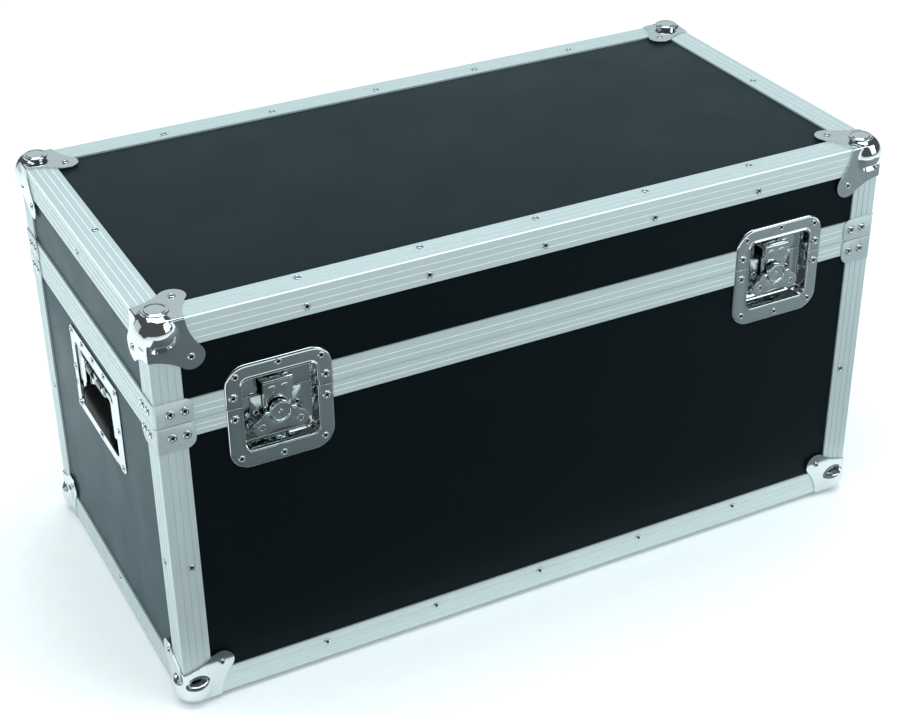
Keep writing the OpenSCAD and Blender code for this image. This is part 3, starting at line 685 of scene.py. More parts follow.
class CaseSizes(bpy.types.PropertyGroup):
    """Sizes of the visible hardware, in millimetres."""
    ball_radius: bpy.props.FloatProperty(name="Ball radius", default=22.0, min=20.0, max=24.0,
                                         description="Radius of the steel ball at each corner, mm")
    fillet: bpy.props.FloatProperty(name="Ball fillet", default=2.4, min=1.0, max=8.0,
                                    description="Softness of the pressing round each ball, mm")
    corner_grid: bpy.props.FloatProperty(name="Corner mesh", default=1.25, min=0.8, max=3.0,
                                         description="Point spacing on the ball corners, mm")
    small_rivet: bpy.props.FloatProperty(name="Small rivet radius", default=3.8, min=2.5, max=4.2,
                                         description="Head radius of the small rivets, mm")
    dome_rivet: bpy.props.FloatProperty(name="Dome rivet radius", default=4.8, min=4.0, max=6.0,
                                        description="Head radius of the large rivets, mm")
    foam_pitch: bpy.props.FloatProperty(name="Foam pitch", default=40.0, min=25.0, max=60.0,
                                        description="Distance between the peaks of the lid foam, mm")


def colour_value(name, code, description):
    return bpy.props.FloatVectorProperty(name=name, description=description, subtype="COLOR", size=3,
                                         min=0.0, max=1.0, default=linear(code)[:3])


class CaseColours(bpy.types.PropertyGroup):
    """Base colours of the finishes."""
    laminate: colour_value("Laminate", "#06080a", "Black phenolic film on the panels")
    aluminium: colour_value("Aluminium", "#c6d2d3", "Anodised extrusions")
    chrome: colour_value("Chrome", "#e2e8e9", "Plated pressed steel")
    zinc: colour_value("Zinc", "#c4d0d3", "Zinc plated braces and brackets")
    rubber: colour_value("Rubber", "#040505", "Handle grips")
    foam: colour_value("Foam", "#26282b", "Foam lining")


# ---------- operators ----------

class CASE_OT_panels(bpy.types.Operator):
    """Finishes the plywood panels in black laminate"""
    bl_idname = "case.panels"
    bl_label = "Panels"

    def execute(self, context):
        for half, sides in (("base", ("front", "back", "left", "right")),
                            ("lid", ("top", "front", "back", "left", "right"))):
            for side in sides:
                paint(f"{half}_{side}_panel", finish("laminate"))
        paint("base_floor", finish("laminate"))
        return {"FINISHED"}


class CASE_OT_extrusions(bpy.types.Operator):
    """Finishes the aluminium edges, posts and closing rails"""
    bl_idname = "case.extrusions"
    bl_label = "Extrusions"

    def execute(self, context):
        for half in ("base", "lid"):
            for part, way in (("long_edges", "bar_x"), ("front_closing_rail", "bar_x"),
                              ("back_closing_rail", "bar_x"), ("short_edges", "bar_y"),
                              ("end_closing_rails", "bar_y"), ("corner_posts", "bar_z")):
                paint(f"{half}_{part}", finish(way))
        return {"FINISHED"}


def corner_outline():
    """One face of a ball corner: two hollow sides that run into a round tab."""
    reach = Vector((TIP_REACH, -5.0))
    tab = Vector((TAB_CENTRE, TAB_CENTRE))
    side = tab - reach
    meet = math.degrees(math.atan2(side.y, side.x))
    first = 180 - math.degrees(math.asin((-PLATE - reach.y) / HOLLOW_RADIUS))
    hollow = arc(reach.x, reach.y, HOLLOW_RADIUS, first, meet, 22)
    tab_from = meet - 180
    bulge = arc(tab.x, tab.y, TAB_RADIUS, tab_from, 90 - tab_from, 30)
    mirrored = [(y, x) for x, y in reversed(hollow)]
    foot = hollow[0][0]
    steps = 30
    low = [(-PLATE + (foot + PLATE) * i / steps, -PLATE) for i in range(steps)]
    left = [(-PLATE, foot - (foot + PLATE) * i / steps) for i in range(1, steps)]
    return low + hollow + bulge[1:-1] + mirrored + left


def pressed(points, ball, fillet, eyes):
    """Draws points of the three flat faces out along rays from the ball's centre to the
    pressed surface: box corner and ball run together, the ball is flattened under the disc."""
    centre = np.full(3, BALL_CENTRE)
    ways = points - centre
    reach = np.linalg.norm(ways, axis=1)
    ways = ways / reach[:, None]

    def depth(p):
        q = (-PLATE + BOX_BEND) - p
        box = np.minimum(q.max(1), 0) + np.linalg.norm(np.maximum(q, 0), axis=1) - BOX_BEND
        box = np.maximum(box, (centre - p).sum(1) / 1.732 - (ball - 3.2))
        sphere = np.linalg.norm(p - centre, axis=1) - ball
        cap = -5.3 - p[:, 2]
        share = np.maximum(1.2 - np.abs(sphere - cap), 0) / 1.2
        sphere = np.maximum(sphere, cap) + share ** 2 * 0.3
        share = np.maximum(fillet - np.abs(sphere - box), 0) / fillet
        solid = np.minimum(sphere, box) - share ** 2 * fillet / 4
        for eye in eyes:
            hole = np.linalg.norm((p - eye[0]) / eye[1], axis=1) - 1
            hole *= min(eye[1])
            share = np.maximum(0.8 - np.abs(solid + hole), 0) / 0.8
            solid = np.maximum(solid, -hole) + share ** 2 * 0.2
        return solid

    near, far = np.full(len(points), 6.0), np.full(len(points), 140.0)
    steps = np.linspace(140.0, 6.0, 420)
    found = np.zeros(len(points), bool)
    for a, b in zip(steps, steps[1:]):
        inside = depth(centre + ways * b) < 0
        fresh = inside & ~found
        near[fresh], far[fresh] = b, a
        found |= inside
    for _ in range(22):
        mid = (near + far) / 2
        inside = depth(centre + ways * mid[:, None]) < 0
        near, far = np.where(inside, mid, near), np.where(inside, far, mid)
    return centre + ways * near[:, None]


def ball_corner(sizes):
    """One lower corner with its three outer planes on the origin."""
    outline = corner_outline()
    spots, faces = triangles(outline, (), sizes.corner_grid)
    # Eye-shaped pockets beside the ball, on the two upright faces.
    eyes = [(np.array([13.0, -3.0, 25.2]), (9.6, 9.0, 3.5)), (np.array([-3.0, 13.0, 25.2]), (9.0, 9.6, 3.5))]
    shape = bmesh.new()
    for k in range(3):
        flat = np.column_stack([spots, np.full(len(spots), -PLATE)])
        flat = np.roll(flat, k, axis=1)
        flat = pressed(flat, sizes.ball_radius, sizes.fillet, eyes)
        verts = [shape.verts.new(p) for p in flat]
        for a, b, c in faces:
            shape.faces.new((verts[a], verts[b], verts[c]))
    bmesh.ops.remove_doubles(shape, verts=shape.verts, dist=0.02)
    middle = Vector([BALL_CENTRE] * 3)
    for face in shape.faces:
        if (face.calc_center_median() - middle).dot(face.normal) < 0:
            face.normal_flip()
    shape.normal_update()
    wall = bpy.data.meshes.new("corner")
    shape.to_mesh(wall)
    shape.free()
    shell = linked("corner", wall)
    thick = shell.modifiers.new("sheet", "SOLIDIFY")
    thick.thickness = PLATE
    thick.offset = -1
    edge = shell.modifiers.new("edge", "BEVEL")
    edge.width, edge.segments, edge.limit_method = 0.35, 2, "ANGLE"
    edge.angle_limit = math.radians(60)
    baked(shell)
    shape = shape_of(shell.data)
    bpy.data.objects.remove(shell)
    disc = turned([(0, -6.5), (9.0, -6.5), (9.7, -6.38), (10.0, -6.1), (10.2, -5.95), (10.6, -6.05),
                   (11.2, -6.3), (12.1, -6.3), (12.9, -6.05), (13.4, -5.5), (13.5, -4.8), (12.6, -4.3),
                   (11.8, -3.6), (0, -3.6)], 56)
    return together(shape, moved(disc, shift(DISC_CENTRE, DISC_CENTRE, 0)))


class CASE_OT_ball_corners(bpy.types.Operator):
    """Builds the eight pressed steel ball corners"""
    bl_idname = "case.ball_corners"
    bl_label = "Ball corners"

    def execute(self, context):
        corner = bpy.data.meshes.new("ball corner")
        ball_corner(context.scene.case_sizes).to_mesh(corner)
        for half in ("base", "lid"):
            over = shift(z=FOOT_Z) if half == "base" else shift(z=TOP_Z) @ flip(z=-1)
            shapes = [moved(shape_of(corner), spot, over) for spot in four_corners()]
            publish(half + "_pressed_ball_corners", together(*shapes), finish("ball"), half,
                    (half + "_ball_corners",), angle=50)
        return {"FINISHED"}


def brace(height, inner, outer):
    """Corner brace wrapped round the upright edge; it grows upward from z = 0."""
    outline = filleted([(0, 0, 0), (BRACE_REACH, 0, inner), (BRACE_REACH, height, outer),
                        (0, height, 0)], 7)
    whole = outline + [(-x, y) for x, y in reversed(outline) if x > 1e-6]
    sheet = plate(whole, 0, PLATE)
    for x in (-3.4, -2.6, -1.9, -1.2, -0.4, 0.4, 1.2, 1.9, 2.6, 3.4):
        bmesh.ops.bisect_plane(sheet, geom=sheet.verts[:] + sheet.edges[:] + sheet.faces[:],
                               plane_co=(x, 0, 0), plane_no=(1, 0, 0))
    # The strip in the middle turns a quarter circle round the upright edge.
    inner_bend = 2 * BEND_HALF / (math.pi / 2) - PLATE
    for v in sheet.verts:
        x, y, z = v.co
        out = inner_bend + z
        spin = max(-1.0, min(1.0, x / BEND_HALF)) * math.pi / 4
        beyond = math.copysign(max(0.0, abs(x) - BEND_HALF), x)
        v.co = (math.sin(spin) * out + math.cos(spin) * beyond,
                math.sin(spin) * beyond - math.cos(spin) * out, y)
    bmesh.ops.recalc_face_normals(sheet, faces=sheet.faces)
    # From the bend's own axes to the case corner, outer faces 1.5 mm proud of the extrusions.
    moved(sheet, turn(-45, "Z"))
    return moved(sheet, shift(inner_bend, inner_bend, 0))


class CASE_OT_braces(bpy.types.Operator):
    """Builds the braces that wrap the corners above and below the parting line"""
    bl_idname = "case.braces"
    bl_label = "Corner braces"

    def execute(self, context):
        for half, height, inner, outer, over in (
                ("base", BASE_BRACE, 5, 11, shift(z=PARTING_Z - BRACE_GAP) @ flip(z=-1)),
                ("lid", LID_BRACE, 5, 9, shift(z=PARTING_Z + BRACE_GAP))):
            shapes = [moved(brace(height, inner, outer), spot, over) for spot in four_corners()]
            publish(half + "_bent_corner_braces", together(*shapes), finish("zinc"), half,
                    (half + "_corner_braces",), bevel=0.3)
        return {"FINISHED"}


def rivet_points(node):
    """Foot and direction of every rivet of a CAD node, as a mesh of loose points."""
    shape = cad_shape(node, plain=False)
    todo, feet, aims = set(shape.verts), [], []
    while todo:
        first = todo.pop()
        group, queue = [first], [first]
        while queue:
            for edge in queue.pop().link_edges:
                for other in edge.verts:
                    if other in todo:
                        todo.discard(other)
                        group.append(other)
                        queue.append(other)
        spots = np.array([v.co for v in group])
        lo, hi = spots.min(0), spots.max(0)
        axis = int(np.argmin(hi - lo))
        middle = (lo + hi) / 2
        wide = np.delete(spots - middle, axis, axis=1)
        rim = spots[np.linalg.norm(wide, axis=1) > np.linalg.norm(wide, axis=1).max() * 0.98]
        low_at_lo = abs(rim[:, axis].min() - lo[axis]) < 1e-5
        aim = np.zeros(3)
        aim[axis] = 1 if low_at_lo else -1
        foot = middle.copy()
        foot[axis] = lo[axis] if low_at_lo else hi[axis]
        feet.append(foot)
        aims.append(aim)
    shape.free()
    order = sorted(range(len(feet)), key=lambda i: tuple(np.round(feet[i], 4)))
    mesh = bpy.data.meshes.new(node + "_points")
    mesh.from_pydata([feet[i] for i in order], [], [])
    mesh.attributes.new("aim", "FLOAT_VECTOR", "POINT").data.foreach_set(
        "vector", np.array([aims[i] for i in order]).ravel())
    return mesh


class CASE_OT_rivets(bpy.types.Operator):
    """Sets a hollow rivet head on every rivet place"""
    bl_idname = "case.rivets"
    bl_label = "Rivets"

    def execute(self, context):
        sizes, tree = context.scene.case_sizes, rivet_tree()
        for half in ("base", "lid"):
            for kind, radius, wall, height in (("small", sizes.small_rivet, 0.3, 1.4),
                                               ("dome", sizes.dome_rivet, 0.345, 1.8)):
                node = f"{half}_{kind}_rivets"
                piece = grown(f"{half}_{kind}_rivet_heads", rivet_points(node), tree, Radius=radius * MM,
                              Wall=radius * wall * MM, Height=height * MM, Head=finish("rivet"),
                              Core=finish("core"))
                if not piece.data.polygons:
                    raise RuntimeError(f"{node}: no rivet heads came out")
                piece.data.shade_smooth()
                piece.data.set_sharp_from_angle(angle=math.radians(50))
                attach(piece, half)
                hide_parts(node)
        return {"FINISHED"}


def ring_maker(x, low, high, radius, smallest, steps):
    """Makes soft rectangles of a dish, each wider by out and at height z."""
    def ring(out, z):
        return [(*p, z) for p in soft_rect(-x - out, low - out, x + out, high + out,
                                           max(smallest, radius + out), steps, 6)]
    return ring


def dish_shell():
    """Pressed latch dish as one closed sheet: flanged rim, raised lip, walls and floor."""
    rim = ring_maker(55, -71, 45, 22, 1.0, 12)
    mouth = ring_maker(38.5, -51.5, 28, 7, 1.5, 12)
    return lofted([
        mouth(-3.2, -1.2), mouth(-0.4, -1.0), mouth(1.0, -0.2), mouth(1.2, 1.5), mouth(1.2, 13.8),
        rim(-1.2, 13.6), rim(-1.2, 11.8), rim(-0.2, 11.8), rim(0, 12.2), rim(0, 13.4), rim(-0.4, 14.1),
        rim(-1.2, 14.6), rim(-2.6, 14.9), rim(-4.6, 15.05), mouth(4.0, 15.1), mouth(2.6, 15.12),
        mouth(1.9, 15.5), mouth(1.3, 15.85), mouth(0.7, 15.9), mouth(0.2, 15.65), mouth(0, 15.2),
        mouth(0, 3.0), mouth(-0.35, 1.5), mouth(-1.2, 0.4), mouth(-2.6, 0.0)])


def cut_sheet(shape, height, keep_low):
    """Cuts a closed sheet at y = height and closes the cut."""
    cut = bmesh.ops.bisect_plane(shape, geom=shape.verts[:] + shape.edges[:] + shape.faces[:],
                                 plane_co=(0, height, 0), plane_no=(0, 1, 0), clear_outer=keep_low,
                                 clear_inner=not keep_low)
    edges = [e for e in cut["geom_cut"] if isinstance(e, bmesh.types.BMEdge)]
    bmesh.ops.triangle_fill(shape, use_beauty=True, edges=edges)
    bmesh.ops.recalc_face_normals(shape, faces=shape.faces)
    return shape


class CASE_OT_latch_dishes(bpy.types.Operator):
    """Presses the two latch dishes, each parted at the lid line"""
    bl_idname = "case.latch_dishes"
    bl_label = "Latch dishes"

    def execute(self, context):
        for side, word in SIDES:
            for half, height, low in (("base", -DISH_GAP, True), ("lid", DISH_GAP, False)):
                shape = cut_sheet(dish_shell(), height, low)
                publish(f"{word}_pressed_{half}_dish", moved(shape, at_latch(side)), finish("chrome"), half,
                        (f"{word}_latch_{half}_dish",), bevel=0.2, angle=50)
        return {"FINISHED"}


def hub_shape():
    """Turn knob: barrel, head with a sunk face, boss with two punch marks, eccentric and cross pin."""
    head = turned([(0, 14.95), (1.5, 14.95), (2.3, 14.8), (2.6, 14.45), (2.75, 14.2), (8.3, 14.2),
                   (8.9, 14.35), (9.15, 14.8), (9.3, 15.3), (9.75, 15.6), (10.6, 15.6), (11.05, 15.4),
                   (11.3, 14.9), (11.3, 10.5), (11.0, 9.9), (10.4, 9.6), (6.2, 9.6), (6.2, 9.2),
                   (0, 9.2)], 64)
    barrel = turned([(0, 9.8), (6, 9.8), (6, 1.9), (5.6, 1.8), (0, 1.8)], 40)
    journal = turned([(0, 2), (3, 2), (3, -1.55), (4.9, -1.6), (5.2, -1.9), (5.1, -2.6), (4.2, -2.95),
                      (0, -3)], 32)
    marks = [moved(turned([(0, 15.12), (0.5, 15.1), (0.62, 14.9), (0, 14.9)], 16), shift(x, y, 0))
             for x, y in ((-0.9, -0.6), (0.9, 0.6))]
    pins = [moved(turned([(0, 3.5), (1.0, 3.5), (1.2, 3.3), (1.2, -3.5), (0, -3.5)], 20),
                  shift(s * 13.1, 0, WING_AXIS), turn(s * 90, "Y")) for s in (-1, 1)]
    return together(head, moved(barrel, shift(0, 1.5, 0)), journal, *marks, *pins)


def wing_outline():
    """Butterfly wing round the lower half of the hub, with a long hollow lower edge."""
    notch = arc(0, 0, 12.4, 180, 360, 36)
    hollow_y, hollow_r = -69.4, 49.9
    way = math.degrees(math.atan2(EAR_Y - hollow_y, EAR_X))
    ear = arc(EAR_X, EAR_Y, 9.0, 62, way - 180, 28)
    hollow = arc(0, hollow_y, hollow_r, way, 180 - way, 24)
    other = [(-x, y) for x, y in reversed(ear)]
    shoulder = [(12.5, 0.7), (12.9, 1.2), (13.5, 1.5), (15.2, 1.5), (16.2, 1.0), (17.0, 0.0), (18.2, -1.6),
                (20.4, -3.9), (22.6, -5.3)]
    return notch + shoulder + ear + hollow[1:-1] + other + [(-x, y) for x, y in reversed(shoulder)]


def wing_shape():
    """Butterfly wing: a blade with two rimmed holes and the knuckles on its pin axis."""
    holes = [arc(s * EAR_X, EAR_Y, 2.4, 0, 345, 23) for s in (-1, 1)]
    blade = plate(list(reversed(wing_outline())), 11.0, 13.0, holes)
    rims = [moved(turned([(2.5, 12.9), (2.5, 13.25), (2.9, 13.4), (3.6, 13.35), (4.0, 13.1), (4.1, 12.8),
                          (2.5, 12.8)], 28), shift(s * EAR_X, EAR_Y, 0)) for s in (-1, 1)]
    knuckle = [(1.3, 2.2), (2.2, 2.2), (2.4, 2.0), (2.4, -2.0), (2.2, -2.2), (1.3, -2.2), (1.3, 2.2)]
    knuckles = [moved(turned(knuckle, 28), shift(s * 14.0, 0, WING_AXIS), turn(90, "Y")) for s in (-1, 1)]
    return together(blade, *rims, *knuckles)


def across(profile, half):
    """Sheet bent to a side profile in (y, z), from x = -half to x = half."""
    return moved(plate(profile, -half, half), upended())


def hook_shape():
    """Hook plate: slotted tongue, side cheeks, outer plate with two pressed bosses, folded lip."""
    slot = soft_rect(-7.8, -5, 7.8, 8, 2, 5)
    tongue = plate(soft_rect(-15, -12, 15, 19, 1.6, 5), 5.2, 7.2, (slot,))
    bent = across(filleted([(17, 5.2, 0), (19, 5.2, 0.5), (19, 8.5, 0.3), (34, 8.5, 0.2), (34, 5.5, 0),
                            (36, 5.5, 0), (36, 10.5, 1.8), (17, 10.5, 1.2)]), 15)
    roll = moved(turned([(0, 15), (1.1, 15), (1.35, 14.7), (1.35, -14.7), (1.1, -15), (0, -15)], 20),
                 shift(0, 32.4, 9.6), turn(90, "Y"))
    bosses = [moved(turned([(0, 10.92), (1.8, 10.88), (3.2, 10.7), (4.0, 10.5), (4.1, 10.2), (0, 10.2)], 32),
                    shift(x, 25, 0)) for x in (-6.5, 6.5)]
    cheeks = [moved(plate(soft_rect(19, 6.2, 33.5, 9, 0.6, 3), 14.15, 15.0), upended(s)) for s in (-1, 1)]
    pins = [moved(turned([(0, 1.7), (1.0, 1.7), (1.2, 1.5), (1.2, -1.7), (0, -1.7)], 20),
                  shift(s * 15.7, -8, 6.2), turn(s * 90, "Y")) for s in (-1, 1)]
    return together(tongue, bent, roll, *bosses, *cheeks, *pins)


def keeper_shape():
    """Strike plate on the lid with its ledge bent outward."""
    return across(filleted([(12, 0, 1.4), (27, 0, 0), (27, 1.5, 0.6), (13.5, 1.5, 0.4), (13.5, 5, 0.6),
                            (12, 5, 0.6)]), 14)


class CASE_OT_latch_works(bpy.types.Operator):
    """Builds hub, wing, hook, keeper and frame of both latches"""
    bl_idname = "case.latch_works"
    bl_label = "Latch works"

    def execute(self, context):
        for side, word in SIDES:
            place = at_latch(side) @ shift(0, HUB_Y, 0)
            for name, shape, part, bevel in (("turned_hub", hub_shape(), "hub", 0.0),
                                             ("butterfly_wing", wing_shape(), "wing", 0.4),
                                             ("hook_plate", hook_shape(), "hook", 0.25)):
                publish(f"{word}_{name}", moved(shape, place), finish("chrome"), f"{word}_{part}",
                        (f"{word}_latch_{part}",), bevel)
            publish(f"{word}_strike_plate", moved(keeper_shape(), at_latch(side)), finish("bracket"), "lid",
                    (f"{word}_latch_keeper",), bevel=0.2)
            refined(f"{word}_latch_frame", finish("bracket"), "base", 0.2)
        return {"FINISHED"}


class CASE_OT_springs(bpy.types.Operator):
    """Winds the latch springs and the handle springs"""
    bl_idname = "case.springs"
    bl_label = "Springs"

    def execute(self, context):
        tree = coil_tree()

        def coil(radius, wire, turns, height):
            made = grown("coil", bpy.data.meshes.new("seed"), tree, **{
                "Coil radius": radius, "Wire radius": wire, "Turns": turns, "Height": height,
                "Wire": finish("spring")})
            shape = shape_of(made.data)
            bpy.data.objects.remove(made)
            if not shape.faces:
                raise RuntimeError("the coil came out empty")
            return shape
        for side, word in SIDES:
            leg = swept([(5.7, -0.3, 5.2), (7.5, 1.5, 5.3), (10, 5.5, 5.4), (12.5, 8.5, 5.4)], 0.85, 12)
            shape = together(coil(5.6, 0.85, 2.6, 4.4), leg)
            publish(f"{word}_latch_coil", moved(shape, at_latch(side), shift(-27, HUB_Y - 17, PLATE + 1.0)),
                    finish("spring"), "base", (f"{word}_latch_spring",), angle=60)
            coils = []
            for a in (-1, 1):
                tail = swept([(5.7, 0, 0.4), (5.9, -3, 0.4), (5.7, -7, 0.4)], 0.95, 12)
                one = together(coil(5.65, 0.95, 7.5, 15.2), tail)
                coils.append(moved(one, shift(a * 16 - 7.6, PULL_Y, PULL_Z), turn(90, "Y")))
            publish(f"{word}_handle_coils", moved(together(*coils), at_handle(side)), finish("spring"),
                    "base", (f"{word}_handle_springs",), angle=60)
        return {"FINISHED"}


def pull_dish():
    """Pressed handle dish: thin flange, raised lip, deep walls and two bearing lugs."""
    rim = ring_maker(79, -51.5, 51.5, 8, 1.0, 10)
    mouth = ring_maker(64, -37.5, 37.5, 7, 1.5, 10)
    shell = lofted([
        mouth(-3.2, -14.2), mouth(-0.4, -14.0), mouth(1.0, -13.2), mouth(1.2, -11.5), mouth(1.2, 0),
        rim(-0.3, 0), rim(0, 0.25), rim(0, 0.9), rim(-0.2, 1.3), rim(-0.7, 1.5), mouth(3.4, 1.5),
        mouth(2.6, 1.62), mouth(1.9, 1.95), mouth(1.3, 2.3), mouth(0.7, 2.4), mouth(0.2, 2.1),
        mouth(0, 1.6), mouth(0, -10), mouth(-0.35, -11.5), mouth(-1.2, -12.6), mouth(-2.6, -13.0)])
    lugs = []
    for a in (-33.0, 27.0):
        ring = [(PULL_Y - 6.5, -13.1), (PULL_Y + 6.5, -13.1)] + arc(PULL_Y, PULL_Z, 6.5, 0, 180, 20)
        hole = arc(PULL_Y, PULL_Z, 4.06, 0, 345, 23)
        lugs.append(moved(plate(ring, a, a + 6, (hole,)), upended()))
    return together(shell, *lugs)


def pull_loop():
    """Round bar bent to a closed loop."""
    path = [(x, y, 0) for x, y in soft_rect(-PULL_HALF, -PULL_DROP, PULL_HALF, 0, 4.2, 6, 8)]
    return swept(path, 4.0, 24, closed=True)


def pull_grip():
    """Moulded grip: oval section that fills out to the middle, soft ends and shallow cross grooves
    at each end."""
    rings = []
    half = PULL_HALF - 4.5
    stations = [-1.0, -0.992, -0.975, -0.95, -0.92, -0.9, -0.885, -0.87, -0.85, -0.835, -0.82, -0.8, -0.6,
                -0.3, 0.0]
    stations += [-s for s in reversed(stations[:-1])]
    for s in stations:
        end = min(1.0, (1 - abs(s)) / 0.05)
        soft = math.sqrt(max(0.0, 1 - (1 - end) ** 2))
        groove = 0.5 if 0.86 < abs(s) < 0.89 or 0.81 < abs(s) < 0.84 else 0.0
        a = 8.1 + 0.9 * (1 - s * s) - groove - (1 - soft) * 3.0
        b = 12.2 + 0.8 * (1 - s * s) - groove - (1 - soft) * 3.0
        ring = soft_rect(-a, -b, a, b, min(a, b) * 0.78, 10, 2)
        rings.append([(s * half, y, -x) for x, y in ring])
    return lofted(rings)


class CASE_OT_handles(bpy.types.Operator):
    """Builds the recessed handles: dish, loop and rubber grip"""
    bl_idname = "case.handles"
    bl_label = "Handles"

    def execute(self, context):
        for side, word in SIDES:
            publish(f"{word}_pressed_handle_dish", moved(pull_dish(), at_handle(side)), finish("chrome"),
                    "base", (f"{word}_handle_dish",), bevel=0.2, angle=50)
            publish(f"{word}_bent_loop", moved(pull_loop(), at_handle(side), shift(0, PULL_Y, PULL_Z)),
                    finish("chrome"), f"{word}_handle", (f"{word}_handle_loop",))
            publish(f"{word}_rubber_grip", moved(pull_grip(), at_handle(side), shift(
                0, PULL_Y - PULL_DROP, PULL_Z)), finish("rubber"), f"{word}_handle",
                (f"{word}_handle_grip",), bevel=0.4, angle=45)
        return {"FINISHED"}


class CASE_OT_hinges(bpy.types.Operator):
    """Finishes the three hinges on the back"""
    bl_idname = "case.hinges"
    bl_label = "Hinges"

    def execute(self, context):
        for node, body, bevel in (("hinge_base_leaves", "base", 0.3), ("hinge_lid_leaves", "lid", 0.3),
                                  ("hinge_pins", "base", 0.25)):
            refined(node, finish("bracket"), body, bevel)
        return {"FINISHED"}


class CASE_OT_foam(bpy.types.Operator):
    """Cuts the foam lining of the base and the profiled foam pad of the lid"""
    bl_idname = "case.foam"
    bl_label = "Foam"

    def execute(self, context):
        lining = publish("base_cut_foam_lining", cad_shape("base_foam_lining"), finish("foam"), "base",
                         ("base_foam_lining",), bevel=2.5, in_mm=False)
        lo, hi = corners_mm("lid_foam_pad")
        pitch = context.scene.case_sizes.foam_pitch
        nx, ny = round((hi.x - lo.x) / PAD_CELL), round((hi.y - lo.y) / PAD_CELL)
        pad = bmesh.new()
        rows = []
        for j in range(ny + 1):
            row = []
            for i in range(nx + 1):
                x = lo.x + (hi.x - lo.x) * i / nx
                y = lo.y + (hi.y - lo.y) * j / ny
                edge = min(x - lo.x, hi.x - x, y - lo.y, hi.y - y)
                wave = math.cos(math.tau * x / pitch) * math.cos(math.tau * y / pitch)
                soft = min(1.0, edge / PAD_BORDER)
                depth = PAD_MEAN + PAD_SWING * wave + (1 - math.sqrt(max(0.0, 1 - (1 - soft) ** 2))) * 3.0
                row.append(pad.verts.new((x, y, lo.z + max(0.4, depth))))
            rows.append(row)
        for one, two in zip(rows, rows[1:]):
            for i in range(nx):
                pad.faces.new((one[i], two[i], two[i + 1], one[i + 1]))
        rim = bmesh.ops.extrude_edge_only(pad, edges=[e for e in pad.edges if e.is_boundary])
        for v in rim["geom"]:
            if isinstance(v, bmesh.types.BMVert):
                v.co.z = hi.z
        bmesh.ops.holes_fill(pad, edges=[e for e in pad.edges if e.is_boundary])
        bmesh.ops.recalc_face_normals(pad, faces=pad.faces)
        piece = publish("lid_profiled_foam_pad", pad, finish("foam"), "lid", ("lid_foam_pad",))
        return {"FINISHED"}


def soft_light(name, place, aim, size, power, colour):
    """Large studio soft box."""
    light = bpy.data.lights.new(name, "AREA")
    light.shape, light.size, light.size_y = "RECTANGLE", size[0], size[1]
    light.energy, light.color = power, colour[:3]
    lamp = linked(name, light)
    lamp.location = place
    lamp.rotation_euler = (Vector(aim) - Vector(place)).to_track_quat("-Z", "Y").to_euler()


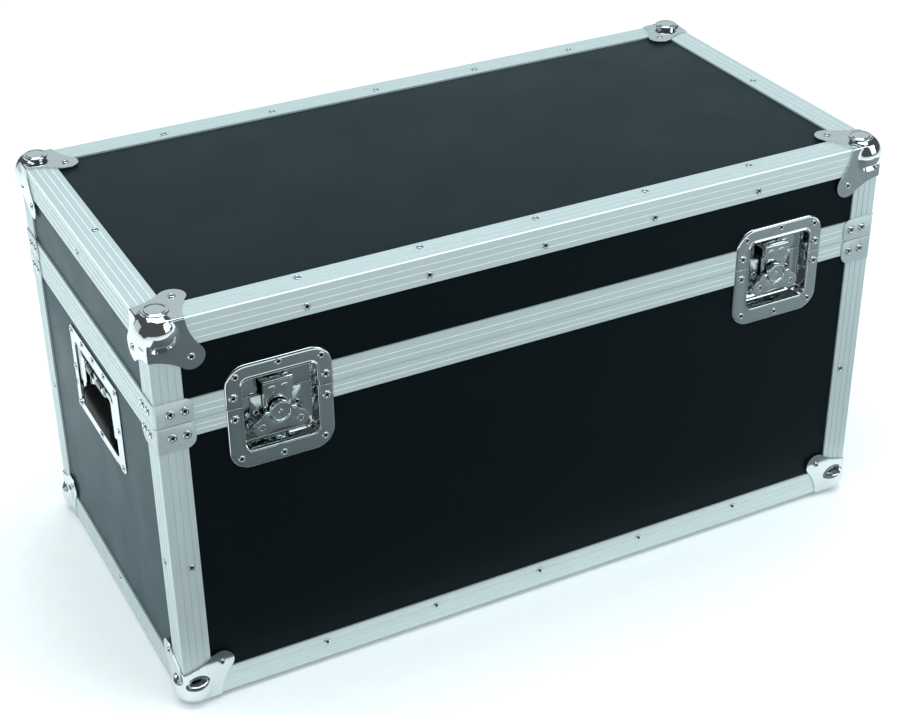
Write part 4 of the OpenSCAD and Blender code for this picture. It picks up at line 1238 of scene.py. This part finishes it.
class CASE_OT_stage(bpy.types.Operator):
    """Sets the pale floor, the soft lights and the camera"""
    bl_idname = "case.stage"
    bl_label = "Stage"

    def execute(self, context):
        scene = context.scene
        bpy.ops.mesh.primitive_plane_add(size=30, location=(0, 0, 0))
        floor = context.object
        floor.name = "studio_floor"
        material, tree, place = blank_material("matt white studio paper")
        tone = blend(tree, noise(tree, place, 25, 5.0), linear("#f4f6f6"), linear("#fafbfb"))
        close_material(tree, {"Base Color": tone, "Roughness": 0.9, "Specular IOR Level": 0.1})
        floor.data.materials.append(material)

        # A grey card on the floor before the case keeps the white floor out of its front panels.
        card = bpy.data.meshes.new("grey_flag")
        spots = ((-1.0, -1.35), (1.5, -1.35), (1.5, -0.25), (-0.62, -0.25))
        card.from_pydata([(*spot, 0.012) for spot in spots], [], [(0, 1, 2, 3)])
        flag = linked("grey_flag", card)
        flag.visible_camera = flag.visible_diffuse = flag.visible_shadow = False
        grey, tree, place = blank_material("grey felt")
        share = spread(tree, parts(tree, place)["X"], 0.0, 1.0, -0.3, 0.9)
        tone = blend(tree, share, linear("#53595b"), linear("#7d8486"))
        close_material(tree, {"Color": tone}, "ShaderNodeBsdfDiffuse")
        card.materials.append(grey)

        # The room gives the floor its even white; what the metal mirrors of it is darker.
        world = bpy.data.worlds.new("soft studio")
        scene.world = world
        world.use_nodes = True
        tree = world.node_tree
        tree.nodes.clear()
        ray = add(tree, "ShaderNodeLightPath").outputs
        power = calc(tree, "MULTIPLY_ADD", ray["Is Camera Ray"], 0.4,
                     spread(tree, ray["Is Glossy Ray"], 0.98, 0.1))
        glow = add(tree, "ShaderNodeBackground", {"Color": linear("#eef4f5"), "Strength": power})
        add(tree, "ShaderNodeOutputWorld", {"Surface": glow.outputs[0]})
        cool = linear("#e3f2f6")
        soft_light("overhead", (-0.1, -0.2, 2.6), (0, 0, 0.3), (2.6, 1.6), 50, cool)
        soft_light("back_wall", (2.0, 4.2, 2.6), (0.2, 0.2, 0.3), (6.0, 3.2), 40, cool)
        soft_light("left_side", (-3.0, 1.6, 1.1), (-0.2, 0, 0.2), (2.8, 2.0), 13, cool)
        soft_light("front_right", (2.2, -2.6, 1.5), (0, 0, 0.25), (1.6, 1.6), 30, cool)
        scene.view_settings.view_transform = "Standard"
        scene.view_settings.look = "None"

        camera = bpy.data.cameras.new("camera")
        camera.sensor_width, camera.lens = 36.0, 72.17
        camera.clip_end = 60
        seat = linked("camera", camera)
        right = Vector((0.88875209, -0.45824913, -0.01129006))
        down = Vector((-0.24594313, -0.45592091, -0.85536431))
        ahead = Vector((0.38682258, 0.76298352, -0.51790389))
        turn_to = Matrix((right, -down, -ahead)).transposed().to_4x4()
        seat.matrix_world = Matrix.Translation((-0.80321, -1.57822, 1.26365)) @ turn_to
        scene.camera = seat
        return {"FINISHED"}


class CASE_PT_sidebar(bpy.types.Panel):
    """Lists the pieces of the case and their values"""
    bl_idname = "CASE_PT_sidebar"
    bl_label = "Flight case"
    bl_space_type = "VIEW_3D"
    bl_region_type = "UI"
    bl_category = "Flight case"

    def draw(self, context):
        for operator in OPERATORS:
            self.layout.operator(operator.bl_idname)
        for group in (context.scene.case_sizes, context.scene.case_colours):
            for name in group.__annotations__:
                self.layout.prop(group, name)


OPERATORS = (CASE_OT_stage, CASE_OT_panels, CASE_OT_extrusions, CASE_OT_ball_corners, CASE_OT_braces,
             CASE_OT_rivets, CASE_OT_latch_dishes, CASE_OT_latch_works, CASE_OT_springs, CASE_OT_handles,
             CASE_OT_hinges, CASE_OT_foam)
CLASSES = (CaseSizes, CaseColours, *OPERATORS, CASE_PT_sidebar)


def register():
    for one in CLASSES:
        bpy.utils.register_class(one)
    bpy.types.Scene.case_sizes = bpy.props.PointerProperty(type=CaseSizes)
    bpy.types.Scene.case_colours = bpy.props.PointerProperty(type=CaseColours)


def unregister():
    del bpy.types.Scene.case_colours
    del bpy.types.Scene.case_sizes
    for one in reversed(CLASSES):
        bpy.utils.unregister_class(one)


def main():
    register()
    for operator in OPERATORS:
        group, name = operator.bl_idname.split(".")
        getattr(getattr(bpy.ops, group), name)()


if __name__ == "__main__":
    main()
